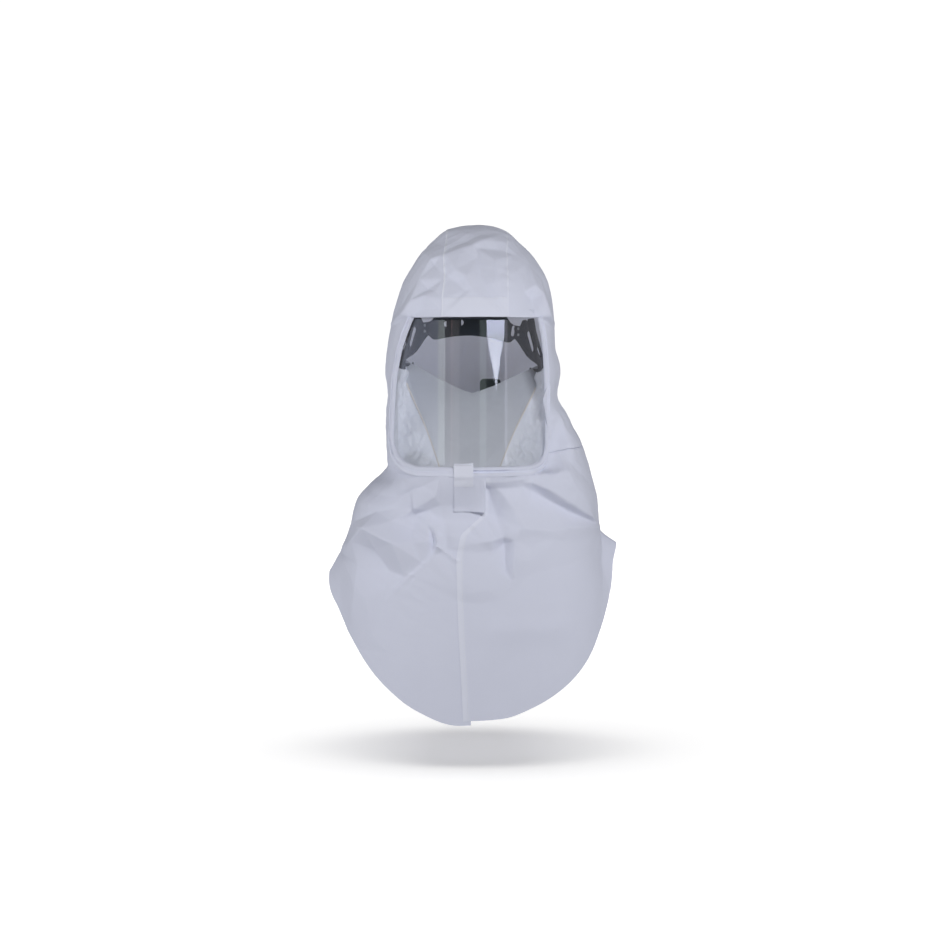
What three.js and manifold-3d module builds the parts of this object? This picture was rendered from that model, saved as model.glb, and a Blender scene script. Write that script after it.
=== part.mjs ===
// Disposable respirator hood: white cloth hood and bib, clear visor, inner face seal and head harness.
// Millimetres, +Z up, the front faces -Y. The origin is the middle of the headband ring,
// at the mid-height of the forehead band.
import * as THREE from "three";
import { mergeVertices } from "three/addons/utils/BufferGeometryUtils.js";
import Module from "manifold-3d";

const wasm = await Module();
wasm.setup();
const { Manifold, Mesh } = wasm;

// Driving sizes
const CLOTH = 1.4; // cloth wall
const FILM = 1.0; // visor sheet, hem strip and tape
const GAP = 0.3; // between neighbouring pieces
const EASE = 0.8; // between a cloth edge and the binding or seam that it meets
const TOP = 114; // crown above the forehead band's middle
const HEAD_X = -4; // the head's middle plane, from the middle line of the cloth
const CROWN_HALF = 38; // half-width of the crown panel
const BROW = 5; // lower edge of the brow
const HEM_TALL = 23; // brow hem
const CHIN = -166; // lower edge of the clear window
const NAPE = -165; // lower edge of the crown panel at the back
const BACK_SPLIT = -25; // height where the side panel's back edge begins
const VISOR_RADIUS = 106;
const VISOR_SET = -3.8; // the visor's middle, behind the cloth's middle surface
const BIND_SIDE = 5; // binding width down the sides of the window
const BIND_LOW = 9; // binding width along the chin
const REACH = 55; // how far around the window the cloth takes up the visor's curve
const LAP = 9; // the left bib half runs this far under the right one
const LAP_LIFT = 2.0; // how far the lapped halves part, each way
const RING_HALF = 84; // headband ring, half-width
const RING_LONG = 94; // headband ring, half-length
const RING_Y = -4; // headband ring, middle
const BAND_T = 2.0; // forehead and nape band
const ARM_T = 2.2; // harness arm
const ARM_OUT = BAND_T / 2 + GAP + ARM_T / 2; // the arm's middle, outside the bands' middle
const ARM_TURN = 64.5; // the arm's face looks out at this angle from the front
const STUD_TURN = 74; // the stud's place around the ring
const STUD_Z = -55.5;
const STUD_R = 2.0;
const RIVET_TURN = 38;
const RIVET_R = 0.9;
const ROLL = 0.04; // the harness sits this much lower on the right, for each millimetre across

const { PI, sin, cos, abs, min, max, sqrt, exp, hypot } = Math;
const rad = (deg) => (deg * PI) / 180;
const lerp = (a, b, t) => a + (b - a) * t;
const clamp = (v, lo, hi) => min(max(v, lo), hi);
const ease = (t) => clamp(t, 0, 1) ** 2 * (3 - 2 * clamp(t, 0, 1));
const power = (v, e) => Math.sign(v) * abs(v) ** e;
const point = (x, y, z) => new THREE.Vector3(x, y, z);
const table = (names, rows) =>
  rows.map((row) => Object.fromEntries(names.split(" ").map((name, i) => [name, row[i]])));

// Level sections of hood and bib: reach to each side at a height, and how square the section is
const SECTIONS = table("z left right front back square", [
  [114, 0, 0, -8, 8, 2.0],
  [106.6, 35, 36, 32, 50, 2.0],
  [92, 52, 53, 60, 72, 2.05],
  [70.6, 69, 73, 88, 93, 2.1],
  [42, 86, 88, 112, 110, 2.15],
  [5, 97, 94, 128, 119, 2.2],
  [-30, 104, 95, 136, 122, 2.25],
  [-59, 106.5, 101, 142, 124, 2.25],
  [-88, 102, 97, 147, 124, 2.25],
  [-117, 105, 111, 150, 121, 2.2],
  [-145, 104, 126, 151, 117, 2.2],
  [-170, 104, 135, 149, 114, 2.2],
  [-181, 111, 138, 146, 114, 2.2],
  [-196, 127, 142, 143, 116, 2.2],
  [-214, 142, 145, 142, 120, 2.25],
  [-246, 149, 146, 144, 127, 2.3],
  [-275, 152, 152, 147, 132, 2.35],
  [-330, 163, 163, 150, 138, 2.4],
  [-480, 165, 165, 152, 142, 2.4],
]);
// The visor's front line and its middle, at the brow and at the chin
const VISOR = table("z front middle", [
  [BROW, -127, 0.5],
  [CHIN, -158, -9],
]);
// Clear window: its edges along the visor's curve, from the visor's middle line
const WINDOW = table("z left right", [
  [5, -81, 81],
  [-20, -94, 91],
  [-45, -103, 97],
  [-80, -108, 103],
  [-131, -107.5, 109],
  [-145, -102.5, 110],
  [-155, -93, 106],
  [-162, -79, 99],
  [-166, -63, 82],
]);
// Neck seam, by the angle from the front, from the window's edge round to the back
const NECK_RIGHT = table("turn z", [
  [36, -152],
  [60, -148],
  [90, -147],
  [120, -156],
  [165, NAPE],
]);
const NECK_LEFT = table("turn z", [
  [-165, NAPE],
  [-120, -172],
  [-92, -176],
  [-82, -166],
  [-72, -152],
]);
// Hems of the bib: height and outward flare by the angle from the front
const HEM_LEFT = table("turn z flare", [
  [-95, -262, 2],
  [-88, -303, 16],
  [-72, -336, 5],
  [-60, -366, 0],
  [-48, -394, 0],
  [-35, -421, 0],
  [-20, -447, 0],
  [-4, -463, 0],
  [4, -461, 0],
]);
const HEM_RIGHT = table("turn z flare", [
  [-8, -459, 0],
  [8, -455, 0],
  [20, -443, 0],
  [35, -422, 0],
  [48, -397, 0],
  [60, -365, 0],
  [72, -322, 4],
  [87, -269, 18],
  [95, -256, 2],
]);
const HEM_BACK = table("turn z flare", [
  [95, -258, 2],
  [105, -296, 6],
  [125, -360, 0],
  [155, -412, 0],
  [180, -424, 0],
  [205, -412, 0],
  [235, -360, 0],
  [255, -300, 6],
  [265, -264, 2],
]);
// Front edge of the right bib half
const FRONT_EDGE = table("z x", [
  [-480, -13],
  [-460, -13.7],
  [-340, -19.4],
  [-306, -20.5],
  [-272, -21],
  [-255, -18.3],
  [-245, -16],
  [-234, -5.7],
  [-218, 9],
  [-176, 11],
]);
// Main folds seen from the front: two ends with their rise, and the width to the left and right of the line
const FOLDS = table("x0 z0 rise0 x1 z1 rise1 left right", [
  [73, -186, 6, 136, -242, 1.5, 26, 6], // right shoulder, long pleat
  [76, -241, 1.5, 145, -240, 1.5, 12, 5],
  [14, -192, 2, 34, -247, 4, 7, 8], // under the flap, three gathers
  [24, -192, -4, 46, -232, -2, 7, 7],
  [38, -190, 2.5, 52, -234, 2, 10, 9],
  [-8, -253, 2, 33, -247, 3.5, 14, 5],
  [40, -254, -4.5, 43, -288, -2, 6, 6], // trough below the gathers
  [32, -257, 3.5, -12, -300, 3, 13, 12],
  [-18, -307, 2, 19, -309, 1.5, 14, 7],
  [23, -355, 2.5, 91, -347, 3, 16, 16],
  [-46, -191, 2, -137, -257, 4, 20, 15], // left shoulder fold
  [-119, -246, 5, -87, -259, 6.5, 22, 13],
  [-87, -259, 5.5, -47, -251, 3, 15, 11],
  [-50, -230, 1.5, -43, -249, 3, 4, 12],
  [-43, -249, 3, -48, -266, 1, 4, 12],
  [-105, -318, 2, -101, -392, 1.5, 10, 12],
  [-30, 54, -2, -10, 34, -3, 8, 8], // dents above the brow
  [-56, 46, -3, -46, 34, -2, 9, 9],
  [62, 50, 2.5, 84, 2, 3, 9, 8],
  [-52, 36, 2, -80, 6, 3, 9, 8],
  [94, -112, 3, 108, -142, 3, 9, 9], // right cheek
]);

// A smooth line through the points of a table, without overshoot
function through(rows, from, to) {
  const list = [...rows].sort((a, b) => a[from] - b[from]);
  const xs = list.map((row) => row[from]);
  const ys = list.map((row) => row[to]);
  const last = xs.length - 1;
  const step = xs.slice(1).map((x, i) => x - xs[i]);
  const rise = step.map((h, i) => (ys[i + 1] - ys[i]) / h);
  const slope = ys.map((_, i) => {
    if (i === 0) return rise[0];
    if (i === last) return rise[last - 1];
    if (rise[i - 1] * rise[i] <= 0) return 0;
    const before = 2 * step[i] + step[i - 1];
    const after = step[i] + 2 * step[i - 1];
    return (before + after) / (before / rise[i - 1] + after / rise[i]);
  });
  return (x) => {
    const at = clamp(x, xs[0], xs[last]);
    let i = 0;
    while (i < last - 1 && at > xs[i + 1]) i += 1;
    const t = (at - xs[i]) / step[i];
    const a = (1 + 2 * t) * (1 - t) ** 2;
    const b = t * (1 - t) ** 2;
    const c = t * t * (3 - 2 * t);
    const d = t * t * (t - 1);
    return a * ys[i] + b * step[i] * slope[i] + c * ys[i + 1] + d * step[i] * slope[i + 1];
  };
}

// Sections are smooth in the root of the depth below the crown, so that the crown closes round
const byDepth = SECTIONS.map((row) => ({ ...row, depth: sqrt(TOP - row.z) }));
const [leftOf, rightOf, frontOf, backOf, squareOf] = ["left", "right", "front", "back", "square"].map((name) =>
  through(byDepth, "depth", name),
);
function section(z) {
  const depth = sqrt(max(TOP - z, 0));
  const [left, right, front, back] = [leftOf, rightOf, frontOf, backOf].map((f) => f(depth));
  return {
    x: (right - left) / 2,
    half: (right + left) / 2,
    y: (back - front) / 2,
    deep: (back + front) / 2,
    square: squareOf(depth),
  };
}
// The plain section's point at an angle from the front, and the angle where it passes x
function ring(angle, z) {
  const s = section(z);
  const e = 2 / s.square;
  return point(s.x + s.half * power(sin(angle), e), s.y - s.deep * power(cos(angle), e), z);
}
function angleAt(x, z, behind) {
  const s = section(z);
  const share = clamp((x - s.x) / max(s.half, 1e-6), -1, 1);
  const a = Math.asin(power(share, s.square / 2));
  if (!behind) return a;
  return a >= 0 ? PI - a : -PI - a;
}

// Visor: a sheet of one radius that leans forward towards the chin
const visorPart = (z, name) => lerp(VISOR[0][name], VISOR[1][name], (BROW - z) / (BROW - CHIN));
const visorX = (s, z) => visorPart(z, "middle") + VISOR_RADIUS * sin(s / VISOR_RADIUS);
function visorY(x, z) {
  const share = clamp((x - visorPart(z, "middle")) / VISOR_RADIUS, -0.99, 0.99);
  return visorPart(z, "front") + VISOR_RADIUS * (1 - sqrt(1 - share * share));
}
function visorAt(s, z, out) {
  const at = (a, b) => point(visorX(a, b), visorY(visorX(a, b), b), b);
  const along = at(s + 0.2, z).sub(at(s - 0.2, z));
  const up = at(s, z + 0.2).sub(at(s, z - 0.2));
  const n = along.cross(up).normalize();
  return { p: at(s, z).addScaledVector(n, out), n };
}

// Window edge, from the brow down the left side, along the chin and up the right side
const windowLeft = through(WINDOW, "z", "left");
const windowRight = through(WINDOW, "z", "right");
const NECK_START = -152; // where the neck seam meets the window's edge
const EDGE_Z = [BROW, -20, -45, -75, -104, -131, -143, NECK_START, -158, -162, -165, CHIN];
const edge = [];
for (const z of EDGE_Z) edge.push({ s: windowLeft(z), z });
for (let i = 1; i < 9; i += 1) edge.push({ s: lerp(windowLeft(CHIN), windowRight(CHIN), i / 9), z: CHIN });
for (const z of [...EDGE_Z].reverse()) edge.push({ s: windowRight(z), z });
edge.forEach((row, i) => {
  const a = edge[max(i - 1, 0)];
  const b = edge[min(i + 1, edge.length - 1)];
  const long = hypot(b.s - a.s, b.z - a.z);
  row.out = { s: (b.z - a.z) / long, z: (a.s - b.s) / long };
  if (row.z === BROW) row.out = { s: i === 0 ? -1 : 1, z: 0 };
  row.wide = lerp(BIND_SIDE, BIND_LOW, row.out.z ** 2);
});
const rim = (grow) =>
  edge.map((row) => ({ s: row.s + row.out.s * (row.wide + grow), z: row.z + row.out.z * (row.wide + grow) }));
const clothRim = rim(EASE);
const CHIN_RIM = min(...clothRim.map((row) => row.z));
const half = edge.length / 2;
const limit = (rows) => (z) => {
  let i = 0;
  while (i < rows.length - 2 && rows[i + 1].z > z) i += 1;
  return lerp(rows[i].s, rows[i + 1].s, clamp((rows[i].z - z) / max(rows[i].z - rows[i + 1].z, 1e-6), 0, 1));
};
const rimLeft = limit(clothRim.slice(0, EDGE_Z.length));
const rimRight = limit(clothRim.slice(-EDGE_Z.length).reverse());

// Cloth surface: the section, drawn to the visor's curve around the window
function skin(angle, z) {
  const p = ring(angle, z);
  const nearZ = clamp(z, CHIN_RIM, BROW);
  const nearX = clamp(p.x, visorX(rimLeft(nearZ), nearZ), visorX(rimRight(nearZ), nearZ));
  const near = ring(angleAt(nearX, nearZ, false), nearZ);
  const pull = 1 - ease(p.distanceTo(near) / REACH);
  p.y += (visorY(nearX, nearZ) - near.y) * pull;
  return p;
}
function folds(p) {
  let rise = 0;
  for (const f of FOLDS) {
    const dx = f.x1 - f.x0;
    const dz = f.z1 - f.z0;
    const long = hypot(dx, dz);
    const along = ((p.x - f.x0) * dx + (p.z - f.z0) * dz) / long;
    const across = ((p.z - f.z0) * dx - (p.x - f.x0) * dz) / long;
    const t = clamp(along / long, 0, 1);
    const wide = across > 0 ? f.left : f.right;
    const away = hypot(across / wide, (along - t * long) / ((f.left + f.right) / 2));
    rise += lerp(f.rise0, f.rise1, t) * exp(-(away ** 1.5));
  }
  return rise * ease((10 - p.y) / 50);
}
function cloth(angle, z, lift) {
  const p = skin(angle, z);
  const along = skin(angle + 0.004, z).sub(skin(angle - 0.004, z));
  const up = skin(angle, min(z + 0.4, TOP - 0.001)).sub(skin(angle, z - 0.4));
  const n = along.cross(up).normalize();
  return { p: p.clone().addScaledVector(n, lift + folds(p)), n };
}

// Closed meshes as points and triangles, turned so that the faces look out
function closed(points, triangles) {
  let volume = 0;
  for (const [a, b, c] of triangles) volume += points[a].dot(points[b].clone().cross(points[c]));
  return { points, triangles: volume < 0 ? triangles.map(([a, b, c]) => [a, c, b]) : triangles };
}
// A sheet of even thickness around a grid of surface points
function sheet(grid, thick) {
  const rows = grid.length;
  const cols = grid[0].length;
  const points = [];
  for (const side of [0.5, -0.5])
    for (const row of grid) for (const g of row) points.push(g.p.clone().addScaledVector(g.n, side * thick));
  const at = (i, j) => i * cols + j;
  const back = rows * cols;
  const triangles = [];
  for (let i = 0; i < rows - 1; i += 1)
    for (let j = 0; j < cols - 1; j += 1) {
      const [a, b, c, d] = [at(i, j), at(i + 1, j), at(i + 1, j + 1), at(i, j + 1)];
      triangles.push([a, b, c], [a, c, d], [back + a, back + c, back + b], [back + a, back + d, back + c]);
    }
  const border = [];
  for (let i = 0; i < rows; i += 1) border.push(at(i, 0));
  for (let j = 1; j < cols; j += 1) border.push(at(rows - 1, j));
  for (let i = rows - 2; i >= 0; i -= 1) border.push(at(i, cols - 1));
  for (let j = cols - 2; j > 0; j -= 1) border.push(at(0, j));
  border.forEach((a, i) => {
    const b = border[(i + 1) % border.length];
    triangles.push([b, a, back + a], [b, back + a, back + b]);
  });
  return closed(points, triangles);
}
// A bar through closed outlines, with flat ends
function bar(outlines) {
  const n = outlines[0].length;
  const points = outlines.flat();
  const triangles = [];
  for (let k = 0; k < outlines.length - 1; k += 1)
    for (let i = 0; i < n; i += 1) {
      const [a, b] = [k * n + i, k * n + ((i + 1) % n)];
      triangles.push([a, b, b + n], [a, b + n, a + n]);
    }
  for (const [k, turned] of [[0, true], [outlines.length - 1, false]]) {
    const middle = points.length;
    points.push(outlines[k].reduce((sum, p) => sum.add(p), point(0, 0, 0)).divideScalar(n));
    for (let i = 0; i < n; i += 1) {
      const [a, b] = [k * n + i, k * n + ((i + 1) % n)];
      triangles.push(turned ? [b, a, middle] : [a, b, middle]);
    }
  }
  return closed(points, triangles);
}
// Lines on the cloth as [angle, height], even along their length
function line(rows) {
  const far = [0];
  for (let i = 1; i < rows.length; i += 1)
    far.push(far[i - 1] + hypot((rows[i][0] - rows[i - 1][0]) * 115, rows[i][1] - rows[i - 1][1]));
  const whole = far[far.length - 1];
  const at = (u) => {
    const want = u * whole;
    let i = 0;
    while (i < rows.length - 2 && far[i + 1] < want) i += 1;
    const t = clamp((want - far[i]) / (far[i + 1] - far[i]), 0, 1);
    return [lerp(rows[i][0], rows[i + 1][0], t), lerp(rows[i][1], rows[i + 1][1], t)];
  };
  at.stops = far.map((v) => v / whole);
  return at;
}
// Stops with wide steps halved
function filled(stops, widest) {
  const rows = [stops[0]];
  for (const v of stops.slice(1)) {
    const last = rows[rows.length - 1];
    const parts = Math.ceil((v - last) / widest);
    for (let i = 1; i <= parts; i += 1) rows.push(lerp(last, v, i / parts));
  }
  return rows;
}
// A cloth panel between an upper and a lower line; its first and last edge may follow lines of their own
function panel({ upper, lower, stops, down, lift = () => 0, first, last, warp = 1, thick = CLOTH }) {
  const grid = [];
  for (const u of stops) {
    const [a0, z0] = upper(u ** warp);
    const [a1, z1] = lower(u);
    const column = [];
    for (let j = 0; j <= down; j += 1) {
      const v = j / down;
      const z = lerp(z0, z1, v);
      let angle = lerp(a0, a1, v);
      if (first) angle += (first(z) - lerp(upper(0)[0], lower(0)[0], v)) * (1 - u) ** 4;
      if (last) angle += (last(z) - lerp(upper(1)[0], lower(1)[0], v)) * u ** 6;
      column.push(cloth(angle, z, lift(angle, z, u, v)));
    }
    grid.push(column);
  }
  return sheet(grid, thick);
}

// Crown panel: x across, h from the brow (-1) over the ridge (0) to the nape (1)
function ridge(x) {
  let low = BROW;
  let high = TOP;
  for (let i = 0; i < 60; i += 1) {
    const z = (low + high) / 2;
    const s = section(z);
    if (abs(x - s.x) < s.half) low = z;
    else high = z;
  }
  return low;
}
function crownLine(x, h) {
  const top = ridge(x);
  const z = top - (top - (h < 0 ? BROW : NAPE)) * h * h;
  return [angleAt(x, z, h > 0), z];
}
const CROWN_ACROSS = [-1, -0.95, -0.72, -0.36, 0, 0.36, 0.72, 0.95, 1];
const CROWN_ALONG = [];
for (let i = 0; i <= 27; i += 1) CROWN_ALONG.push(i <= 11 ? -1 + i / 11 : (i - 11) / 16);
const SEAM_RISE = 1.2; // the crown seams stand up a little
function crownPanel() {
  const half = CROWN_HALF - GAP / 2;
  const at = (x, h) => skin(...crownLine(x, h));
  const grid = CROWN_ALONG.map((h) =>
    CROWN_ACROSS.map((b) => {
      const x = b * half;
      const p = at(x, h);
      const lo = max(h - 0.01, -1);
      const hi = min(h + 0.01, 1);
      const n = at(x + 0.5, h).sub(at(x - 0.5, h)).cross(at(x, hi).sub(at(x, lo))).normalize();
      const lift = folds(p) + (abs(b) === 1 ? SEAM_RISE : 0);
      return { p: p.addScaledVector(n, lift), n };
    }),
  );
  return sheet(grid, CLOTH);
}
// Side panels: from the crown seam to the window's edge and the neck seam
const rimAngle = (row) => [angleAt(visorX(row.s, row.z), row.z, false), row.z];
function sideRim(side) {
  const rows = side < 0 ? clothRim.slice(0, EDGE_Z.length) : clothRim.slice(-EDGE_Z.length).reverse();
  return rows.filter((row) => row.z > NECK_START + 2).map(rimAngle);
}
const neckRight = through(NECK_RIGHT, "turn", "z");
const neckLeft = through(NECK_LEFT, "turn", "z");
const neckZ = (angle) => (angle < 0 ? neckLeft((angle * 180) / PI) : neckRight((angle * 180) / PI));
const SIDE_TURN = rad(95); // side seam of the bib
const NECK_FRONT = 6; // stops of the neck seam from the window to the side, and on to the crown panel
const NECK_BACK = 5;
const spread = (from, to, count) => Array.from({ length: count + 1 }, (_, i) => lerp(from, to, i / count));
const neckStart = (side) => rimAngle({ s: side < 0 ? rimLeft(NECK_START) : rimRight(NECK_START), z: NECK_START });
const neckEnd = (side) => angleAt(side * (CROWN_HALF + GAP / 2), NAPE, true);
const neckFront = (side) => spread(neckStart(side)[0], side * SIDE_TURN, NECK_FRONT).map((a) => [a, neckZ(a)]);
const neckBack = (side) => spread(side * SIDE_TURN, neckEnd(side), NECK_BACK).map((a) => [a, neckZ(a)]);
function sidePanel(side) {
  const x = side * (CROWN_HALF + GAP / 2);
  const share = (z, end) => sqrt((ridge(x) - z) / (ridge(x) - end));
  const arch = spread(-share(BROW + 8, BROW), share(BACK_SPLIT, NAPE), 24).map((h) => crownLine(x, h));
  const corner = sideRim(side);
  const brow = spread(crownLine(x, -1)[0], corner[0][0], 4).map((a) => [a, BROW]);
  const lower = line([...brow, ...corner.slice(1), ...neckFront(side), ...neckBack(side).slice(1)]);
  return panel({
    upper: line(arch),
    lower,
    stops: lower.stops,
    down: 9,
    warp: 0.8,
    last: (z) => angleAt(x, z, true),
  });
}
// Turned-up hem behind the brow
function browHem() {
  const reach = 66;
  const edgeLine = (z) => line([-1, -0.5, 0, 0.5, 1].map((b) => [angleAt(b * reach, z, false), z]));
  return panel({
    upper: edgeLine(BROW + HEM_TALL),
    lower: edgeLine(BROW + 0.6),
    stops: spread(0, 1, 14),
    down: 2,
    lift: () => -(CLOTH / 2 + 0.9 + FILM / 2),
    thick: FILM,
  });
}
// Bib: two lapped front halves and a back
const frontEdge = through(FRONT_EDGE, "z", "x");
const hemLine = (rows) => {
  const z = through(rows, "turn", "z");
  const flare = through(rows, "turn", "flare");
  return { z: (a) => z((a * 180) / PI), flare: (a) => flare((a * 180) / PI) };
};
function bibHalf(side) {
  const hem = hemLine(side < 0 ? HEM_LEFT : HEM_RIGHT);
  const lap = side < 0 ? LAP : 0;
  const edgeAngle = (z) => angleAt(frontEdge(z) + lap, z, false);
  const upTo = side * (SIDE_TURN - GAP / 300);
  const low = CHIN_RIM - 2 * GAP;
  const rows = rim(EASE + 2 * GAP);
  const chin = (side < 0 ? rows.slice(0, half).reverse() : rows.slice(half))
    .filter((row) => row.z < NECK_START - 3)
    .map(rimAngle)
    .filter(([a]) => side * (a - edgeAngle(low)) > 0.06);
  const neck = neckFront(side).map(([a, z]) => [a, z - EASE]);
  neck[neck.length - 1][0] = upTo;
  const upper = line([[edgeAngle(low), low], ...chin, ...neck]);
  const lower = spread(edgeAngle(hem.z(edgeAngle(-458))), upTo, 30).map((a) => [a, hem.z(a)]);
  return panel({
    upper,
    lower: line(lower),
    stops: filled(upper.stops, 0.06),
    down: 12,
    first: edgeAngle,
    lift: (a, z, u, v) => {
      const x = skin(a, z).x - frontEdge(z);
      const lapped = side < 0 ? ease((x + 18) / 16) : 1 - ease((x - 8) / 24);
      return side * lapped * LAP_LIFT + hem.flare(a) * v ** 8;
    },
  });
}
function bibBack() {
  const hem = hemLine(HEM_BACK);
  const from = SIDE_TURN + GAP / 300;
  const right = neckBack(1);
  const left = neckBack(-1).reverse().map(([a, z]) => [a + 2 * PI, z]);
  right[0][0] = from;
  left[left.length - 1][0] = 2 * PI - from;
  const upper = line([...right, [PI, NAPE], ...left].map(([a, z]) => [a, z - EASE]));
  return panel({
    upper,
    lower: line(spread(from, 2 * PI - from, 40).map((a) => [a, hem.z(a)])),
    stops: spread(0, 1, 18),
    down: 8,
    lift: (a, z, u, v) => hem.flare(a) * v ** 8,
  });
}

// Visor, its binding, the chin tab and the flap
const VISOR_Z = [BROW + 11, BROW, -20, -50, -90, -131, -146, -155, -162, CHIN, CHIN - 3.5];
function visorSheet() {
  const steps = 14;
  const grid = VISOR_Z.map((z) => {
    const row = [];
    for (let i = 0; i <= steps; i += 1) {
      const level = clamp(z, CHIN, BROW);
      const s = lerp(windowLeft(level) - 3, windowRight(level) + 3, i / steps);
      if (z > BROW) {
        const x = visorX(s, BROW);
        row.push(cloth(angleAt(x, z, false), z, VISOR_SET));
      } else row.push(visorAt(s, z, VISOR_SET));
    }
    return row;
  });
  return sheet(grid, FILM);
}
const BIND_OUTLINE = table("share rise", [
  [0, -3.0],
  [1, -3.0],
  [1, 0.5],
  [0.8, 1.5],
  [0.56, 0.7],
  [0.44, 0.7],
  [0.2, 1.5],
  [0, 0.5],
]);
function bindingBar() {
  const rows = edge.map((row) => (row.z === BROW ? { ...row, z: BROW - 2 * GAP } : row));
  return bar(
    rows.map((row) =>
      BIND_OUTLINE.map((o) => visorAt(row.s + row.out.s * row.wide * o.share, row.z + row.out.z * row.wide * o.share, o.rise).p),
    ),
  );
}
const FLAP = { left: -24, right: 12, low: -217, lift: LAP_LIFT + CLOTH / 2 + 1.5 + FILM / 2 };
const TAB = { left: -24, right: -2, low: -187, high: CHIN + 4, lift: FLAP.lift + FILM + GAP };
function patch({ left, right, low, high, lift, across, down }) {
  const grid = [];
  for (let i = 0; i <= across; i += 1) {
    const x = lerp(left, right, i / across);
    const column = [];
    for (let j = 0; j <= down; j += 1) {
      const z = lerp(high, low, j / down);
      column.push(cloth(angleAt(x, z, false), z, lift(z)));
    }
    grid.push(column);
  }
  return sheet(grid, FILM);
}
const flap = () => patch({ ...FLAP, high: CHIN_RIM - GAP, lift: () => FLAP.lift, across: 6, down: 6 });
const tab = () =>
  patch({ ...TAB, lift: (z) => lerp(TAB.lift, -1.3, ease((z - CHIN - 0.2) / 3.2)), across: 4, down: 11 });

// Headband ring
function ringAt(turn, z, out) {
  const a = rad(turn);
  const n = point(sin(a) / RING_HALF, -cos(a) / RING_LONG, 0).normalize();
  const p = point(HEAD_X + RING_HALF * sin(a), RING_Y - RING_LONG * cos(a), z);
  return { p: p.addScaledVector(n, out), n };
}
function ringBand(from, to, steps, low, high, out, thick, rows = 1) {
  const grid = [];
  for (let i = 0; i <= steps; i += 1) {
    const turn = lerp(from, to, i / steps);
    const column = [];
    for (let j = 0; j <= rows; j += 1) column.push(ringAt(turn, lerp(high(turn), low(turn), j / rows), out));
    grid.push(column);
  }
  return sheet(grid, thick);
}
// Cutting and joining
function solid({ points, triangles }) {
  return new Manifold(
    new Mesh({
      numProp: 3,
      vertProperties: Float32Array.from(points.flatMap((p) => [p.x, p.y, p.z])),
      triVerts: Uint32Array.from(triangles.flat()),
    }),
  );
}
function meshOf(manifold) {
  const mesh = manifold.getMesh();
  const points = [];
  const triangles = [];
  for (let i = 0; i < mesh.vertProperties.length; i += mesh.numProp)
    points.push(point(...mesh.vertProperties.slice(i, i + 3)));
  for (let i = 0; i < mesh.triVerts.length; i += 3) triangles.push([...mesh.triVerts.slice(i, i + 3)]);
  return { points, triangles };
}
function meshFrom(geometry) {
  const plain = new THREE.BufferGeometry();
  const flat = geometry.index ? geometry.toNonIndexed() : geometry;
  plain.setAttribute("position", flat.getAttribute("position"));
  const merged = mergeVertices(plain, 1e-4);
  const position = merged.getAttribute("position");
  const points = [];
  const triangles = [];
  for (let i = 0; i < position.count; i += 1) points.push(new THREE.Vector3().fromBufferAttribute(position, i));
  for (let i = 0; i < merged.index.count; i += 3)
    triangles.push([merged.index.getX(i), merged.index.getX(i + 1), merged.index.getX(i + 2)]);
  const kept = triangles.filter(([a, b, c]) => a !== b && b !== c && a !== c);
  return closed(points, kept);
}
// A turned piece or a straight hole along a direction
function turned(profile, start, along, segments) {
  const geometry = new THREE.LatheGeometry(
    profile.map(([r, h]) => new THREE.Vector2(r, h)),
    segments,
  );
  geometry.applyQuaternion(new THREE.Quaternion().setFromUnitVectors(point(0, 1, 0), along));
  geometry.translate(start.x, start.y, start.z);
  return meshFrom(geometry);
}
const hole = (r, start, along) => turned([[0, -14], [r, -14], [r, 14], [0, 14]], start, along, 12);
// An outline in a face's own plane, pushed through along the face's normal
function prism(outline, turn, deep) {
  const shape = new THREE.Shape(outline.map(([x, y]) => new THREE.Vector2(x, y)));
  const geometry = new THREE.ExtrudeGeometry(shape, { depth: deep, bevelEnabled: false });
  const a = rad(turn);
  const basis = new THREE.Matrix4().makeBasis(point(cos(a), sin(a), 0), point(0, 0, 1), point(sin(a), -cos(a), 0));
  geometry.applyMatrix4(basis);
  geometry.translate(HEAD_X, 0, 0);
  return meshFrom(geometry);
}
function slot(ends, wide) {
  const [[x0, y0], [x1, y1]] = ends;
  const angle = Math.atan2(y1 - y0, x1 - x0);
  const rows = [];
  for (let i = 0; i <= 4; i += 1) {
    const a = angle - PI / 2 + (PI * i) / 4;
    rows.push([x1 + (wide / 2) * cos(a), y1 + (wide / 2) * sin(a)]);
  }
  for (let i = 0; i <= 4; i += 1) {
    const a = angle + PI / 2 + (PI * i) / 4;
    rows.push([x0 + (wide / 2) * cos(a), y0 + (wide / 2) * sin(a)]);
  }
  return rows;
}
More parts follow.
